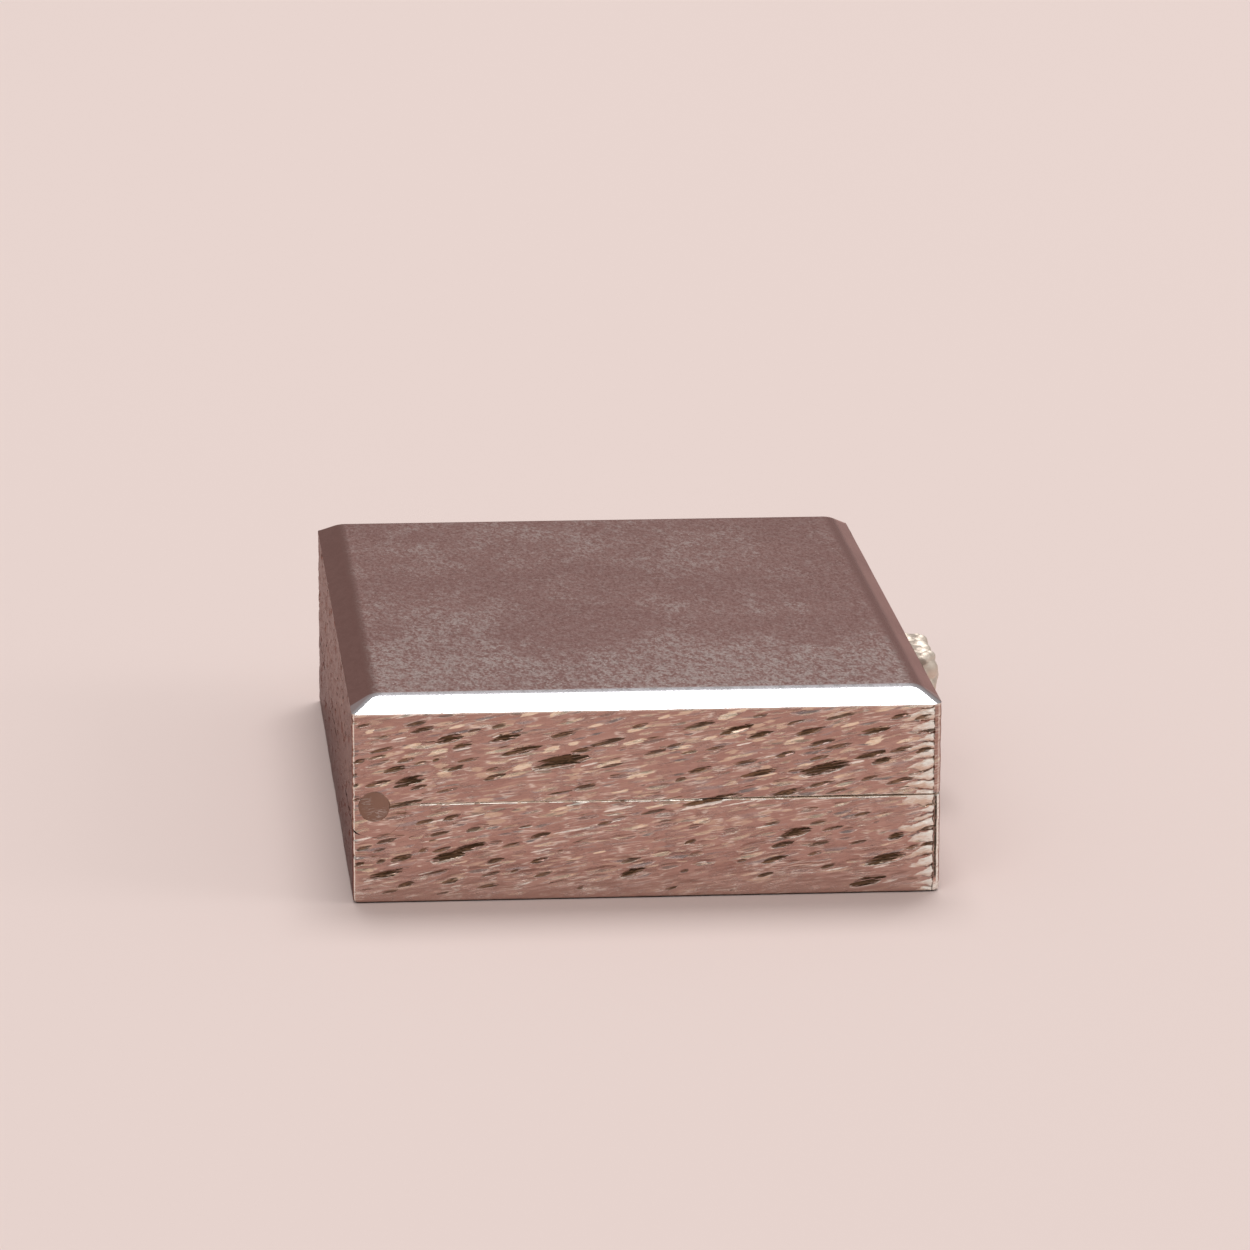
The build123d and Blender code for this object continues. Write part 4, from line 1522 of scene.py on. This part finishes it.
def makeLidPlate():
    hx, hy = case["halfX"], case["halfY"]
    outer = cornered(hx, hy, case["hingeCorner"], case["thumbCorner"])
    edge = plate["lip"]
    lip = cornered(hx - edge, hy - edge, plate["lipCorner"], case["thumbCorner"] - edge)
    innerX, innerY = hx - plate["sideBevel"], hy - plate["endBevel"]
    inner = cornered(innerX, innerY, plate["topCorner"], plate["topCorner"])
    soft = plate["softReach"]
    flat = cornered(innerX - soft, innerY - soft, plate["flatCorner"], plate["flatCorner"])
    # hand filed: the bevel's foot wanders a little over the strokes
    turn = np.arctan2(outer[:, 1], outer[:, 0])
    reach = np.hypot(outer[:, 0], outer[:, 1])
    wander = sum(np.sin(k * turn * reach / 20 + k * k) for k in plate["waves"]) / len(plate["waves"])
    foot = sideTop - plate["wander"] * (1 + wander)
    rings = [(lip, case["plateBottom"]), (lip, sideTop - 2 * plate["wander"]), (outer, foot)]
    for share in plate["bevelShares"]:
        rings.append((outer + (inner - outer) * share, foot + (case["top"] - foot) * share))
    polish = [1.0] * len(rings)
    start, startZ = rings[-1]
    for t in plate["softShares"]:
        a, b, c = (1 - t) ** 2, 2 * t * (1 - t), t ** 2
        rings.append((a * start + b * inner + c * flat, a * startZ + (b + c) * case["top"]))
        polish.append(1.0 - fade(t, plate["polishedTo"], 1.0))
    return ringPiece("lidPlate", rings, polish)


lidPlate = makeLidPlate()
lidPlate.data.materials.append(satinSilver)
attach(lidPlate, "lid")
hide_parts("lid_plate")

# Floor of the base, let in between the walls
floorPlate = {"seat": 0.03, "corner": 0.05, "recess": 0.01}
inX = case["halfX"] - case["baseWall"] + floorPlate["seat"]
inY = case["halfY"] - case["baseWall"] + floorPlate["seat"]
floorRing = cornered(inX, inY, floorPlate["corner"], floorPlate["corner"], turns=3)
baseFloor = ringPiece("baseFloor", [(floorRing, floorPlate["recess"]), (floorRing, case["floorTop"])])
baseFloor.data.materials.append(plainSilver)
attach(baseFloor, "base")
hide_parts("base_floor")
print("plate and floor made")


# Thumb piece: grains cast together on a lug, instanced by a tree, then melted by a remesh
thumbLow, thumbHigh = [np.array(c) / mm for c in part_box("thumb_piece")]
thumb = {
    "big": 0.98,
    "small": 0.62,
    "smallCount": 40,
    "smallFrom": 0.6,
    "outFrom": 0.35,
    "outMost": 0.93,
    "seed": 11,
    "faces": {"out": 0.46, "top": 0.2, "under": 0.14, "near": 0.1, "far": 0.1},
    "rimDrop": 0.16,
    "lugGap": (0.98, 0.6, 0.5),
    "lugRound": 0.3,
    "voxel": 0.075,
    "melt": 16,
    "creviceStart": -0.01,
    "creviceEnd": 0.08,
}
# Each large grain's place up, out and along as shares of the room there, then its size share
largeGrains = [
    (-0.7, 0.86, -1.0, 0.84), (0.55, 0.92, -0.95, 0.92), (-0.2, 1.0, -0.62, 1.0), (1.0, 0.86, -0.55, 0.8),
    (-1.0, 0.9, -0.42, 0.82), (0.38, 0.97, -0.2, 0.95), (-0.55, 0.94, 0.02, 0.9), (1.0, 0.88, 0.14, 0.84),
    (0.06, 1.0, 0.36, 0.98), (-0.96, 0.88, 0.47, 0.82), (0.8, 0.93, 0.64, 0.9), (-0.28, 0.94, 0.83, 0.96),
    (0.5, 0.9, 1.0, 0.88),
]


def thumbGrains():
    # middle and radius of each grain, all inside the lug's box
    rng = np.random.RandomState(thumb["seed"])
    size = thumbHigh - thumbLow
    middle = (thumbHigh + thumbLow) / 2

    def grain(up, outward, along, r):
        y = middle[1] + along * (size[1] / 2 - r)
        return thumbLow[0] + (size[0] - r) * outward, y, middle[2] + up * (size[2] / 2 - r), r

    grains = [grain(up, outward, along, thumb["big"] * share) for up, outward, along, share in largeGrains]
    for _ in range(thumb["smallCount"]):
        r = thumb["small"] * rng.uniform(thumb["smallFrom"], 1.0)
        face = rng.choice(list(thumb["faces"]), p=list(thumb["faces"].values()))
        along, up = rng.uniform(-1, 1), rng.uniform(-1, 1)
        outward = rng.uniform(thumb["outFrom"], 1.0) * thumb["outMost"]
        if face == "out":
            outward = 1.0 - thumb["rimDrop"] * max(abs(along), abs(up)) ** 3
        up = {"top": 1.0, "under": -1.0}.get(face, up)
        along = {"near": -1.0, "far": 1.0}.get(face, along)
        grains.append(grain(up, outward, along, r))
    return np.array(grains)


def makeGrainTree():
    sockets = {"Geometry": "Geometry", "Lug": "Object", "Material": "Material"}
    tree, given, result = newGroup("castGrains", "GeometryNodeTree", sockets, ["Geometry"])
    ball = wire(tree, "GeometryNodeMeshIcoSphere", {"Radius": 1.0, "Subdivisions": 4})
    size = wire(tree, "GeometryNodeInputNamedAttribute", {"Name": "radius"}, data_type="FLOAT")
    cast = {"Points": given["Geometry"], "Instance": ball, "Scale": size}
    cast = wire(tree, "GeometryNodeInstanceOnPoints", cast)
    lug = wire(tree, "GeometryNodeObjectInfo", {"Object": given["Lug"]}, "Geometry")
    both = tree.nodes.new("GeometryNodeJoinGeometry")
    feed(both.inputs[0], cast)
    feed(both.inputs[0], lug)
    endTree(Wire(both.outputs[0]), given, result)
    return tree


def makeLug():
    bm = bmesh.new()
    size = thumbHigh - thumbLow - np.array(thumb["lugGap"])
    middle = (thumbHigh + thumbLow) / 2
    middle[0] = thumbLow[0] + size[0] / 2
    bmesh.ops.create_cube(bm, size=1.0, matrix=Matrix.Translation(middle) @ Matrix.Diagonal((*size, 1.0)))
    bmesh.ops.bevel(bm, geom=bm.edges[:], offset=thumb["lugRound"], segments=4, affect="EDGES", profile=0.5)
    return addObject("lug", toMesh("lug", bm))


def makeThumbPiece():
    # worked in millimetres as if they were metres, so that the remesh has room, then brought to size
    grains = thumbGrains()
    mesh = bpy.data.meshes.new("thumbPiece")
    mesh.from_pydata([tuple(grain[:3]) for grain in grains], [], [])
    writeValues(mesh, radius=grains[:, 3])
    piece = addObject("thumbPiece", mesh)
    lug = makeLug()
    modifier = piece.modifiers.new("castGrains", "NODES")
    modifier.node_group = makeGrainTree()
    setInputs(modifier, {"Lug": lug, "Material": brightSilver})
    remesh = piece.modifiers.new("melt", "REMESH")
    remesh.mode = "VOXEL"
    remesh.voxel_size = thumb["voxel"]
    smooth = piece.modifiers.new("soften", "SMOOTH")
    smooth.factor = 0.5
    smooth.iterations = thumb["melt"]
    settle(piece)
    bpy.data.objects.remove(lug)
    mesh = piece.data
    points = np.zeros(len(mesh.vertices) * 3)
    mesh.vertices.foreach_get("co", points)
    points = np.clip(points.reshape(-1, 3), thumbLow, thumbHigh)
    off = np.min([np.linalg.norm(points - grain[:3], axis=1) - grain[3] for grain in grains], axis=0)
    writeValues(mesh, crevice=fade(off, thumb["creviceStart"], thumb["creviceEnd"]))
    mesh.vertices.foreach_set("co", (points * mm).ravel())
    mesh.materials.clear()
    mesh.materials.append(brightSilver)
    mesh.update()
    return piece


thumbPiece = makeThumbPiece()
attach(thumbPiece, "lid")
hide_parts("thumb_piece")
print("thumb piece cast,", len(thumbPiece.data.polygons), "faces")

# Inner strips and the pin keep their own solids and get their finish
for name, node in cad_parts.items():
    if name.startswith("bezel_") or name.endswith("_bearer") or name == "hinge_pin":
        if not node.material_slots:
            node.data.materials.append(plainSilver)
        for slot in node.material_slots:
            slot.material = pinSilver if name == "hinge_pin" else plainSilver
print("inner strips and pin finished")


# Studio: pale floor, a low even light, one large soft lamp high behind that the bevel mirrors, one in front
studio = {
    "floor": (0.76, 0.63, 0.595),
    "floorSize": 3.0,
    "floorRoughness": 0.75,
    "floorShine": 0.2,
    "world": (0.80, 0.77, 0.75),
    "worldStrength": 0.48,
    "aim": (0, 0, 0.007),
}
lamps = {
    "overhead": {"place": (0.17, 0.77, 1.84), "size": 1.0, "power": 22.0},
    "front": {"place": (-0.4, -1.2, 1.45), "size": 1.3, "power": 8.5},
    "side": {"place": (1.6, -0.5, 0.9), "size": 0.8, "power": 4.0},
}


def makeStudio():
    bm = bmesh.new()
    bmesh.ops.create_grid(bm, x_segments=8, y_segments=8, size=studio["floorSize"])
    floor = addObject("studioFloor", toMesh("studioFloor", bm))
    material = bpy.data.materials.new("paleFloor")
    material.use_nodes = True
    shader = material.node_tree.nodes["Principled BSDF"]
    shader.inputs["Base Color"].default_value = (*studio["floor"], 1)
    shader.inputs["Roughness"].default_value = studio["floorRoughness"]
    shader.inputs["Specular IOR Level"].default_value = studio["floorShine"]
    floor.data.materials.append(material)
    world = bpy.data.worlds.new("studio")
    world.use_nodes = True
    back = world.node_tree.nodes["Background"]
    back.inputs["Color"].default_value = (*studio["world"], 1)
    back.inputs["Strength"].default_value = studio["worldStrength"]
    bpy.context.scene.world = world
    for name, settings in lamps.items():
        lamp = bpy.data.lights.new(name, "AREA")
        lamp.shape = "SQUARE"
        lamp.size = settings["size"]
        lamp.energy = settings["power"]
        holder = addObject(name, lamp)
        holder.location = settings["place"]
        aim = Vector(studio["aim"]) - holder.location
        holder.rotation_mode = "QUATERNION"
        holder.rotation_quaternion = aim.to_track_quat("-Z", "Y")


makeStudio()

# Camera: turned, tilted and rolled as in the photograph, and placed from the case's near left foot
cameraView = {
    "lens": 187.2,
    "sensor": 36.0,
    "turn": math.radians(5.04),
    "tilt": math.radians(13.84),
    "roll": 0.004,
    "footFromCamera": (-19.32, 19.81, 461.33),
}


def makeCamera():
    turn = Matrix.Rotation(cameraView["turn"], 3, "Z")
    tilt = Matrix.Rotation(cameraView["tilt"], 3, "X")
    roll = Matrix.Rotation(cameraView["roll"], 3, "Z")
    axes = Matrix(((1, 0, 0), (0, 0, -1), (0, 1, 0)))
    toCamera = roll @ tilt @ axes @ turn
    foot = Vector((-case["halfX"], -case["halfY"], 0))
    place = foot - toCamera.transposed() @ Vector(cameraView["footFromCamera"])
    right, down, ahead = toCamera[0], toCamera[1], toCamera[2]
    facing = Matrix((right, -down, -ahead)).transposed()
    data = bpy.data.cameras.new("camera")
    data.lens = cameraView["lens"]
    data.sensor_width = cameraView["sensor"]
    data.clip_start = 0.01
    data.clip_end = 20
    camera = bpy.data.objects.new("camera", data)
    camera.matrix_world = Matrix.Translation(place * mm) @ facing.to_4x4()
    bpy.context.collection.objects.link(camera)
    bpy.context.scene.camera = camera


makeCamera()
bpy.context.scene.view_settings.view_transform = "Standard"
print("scene ready")
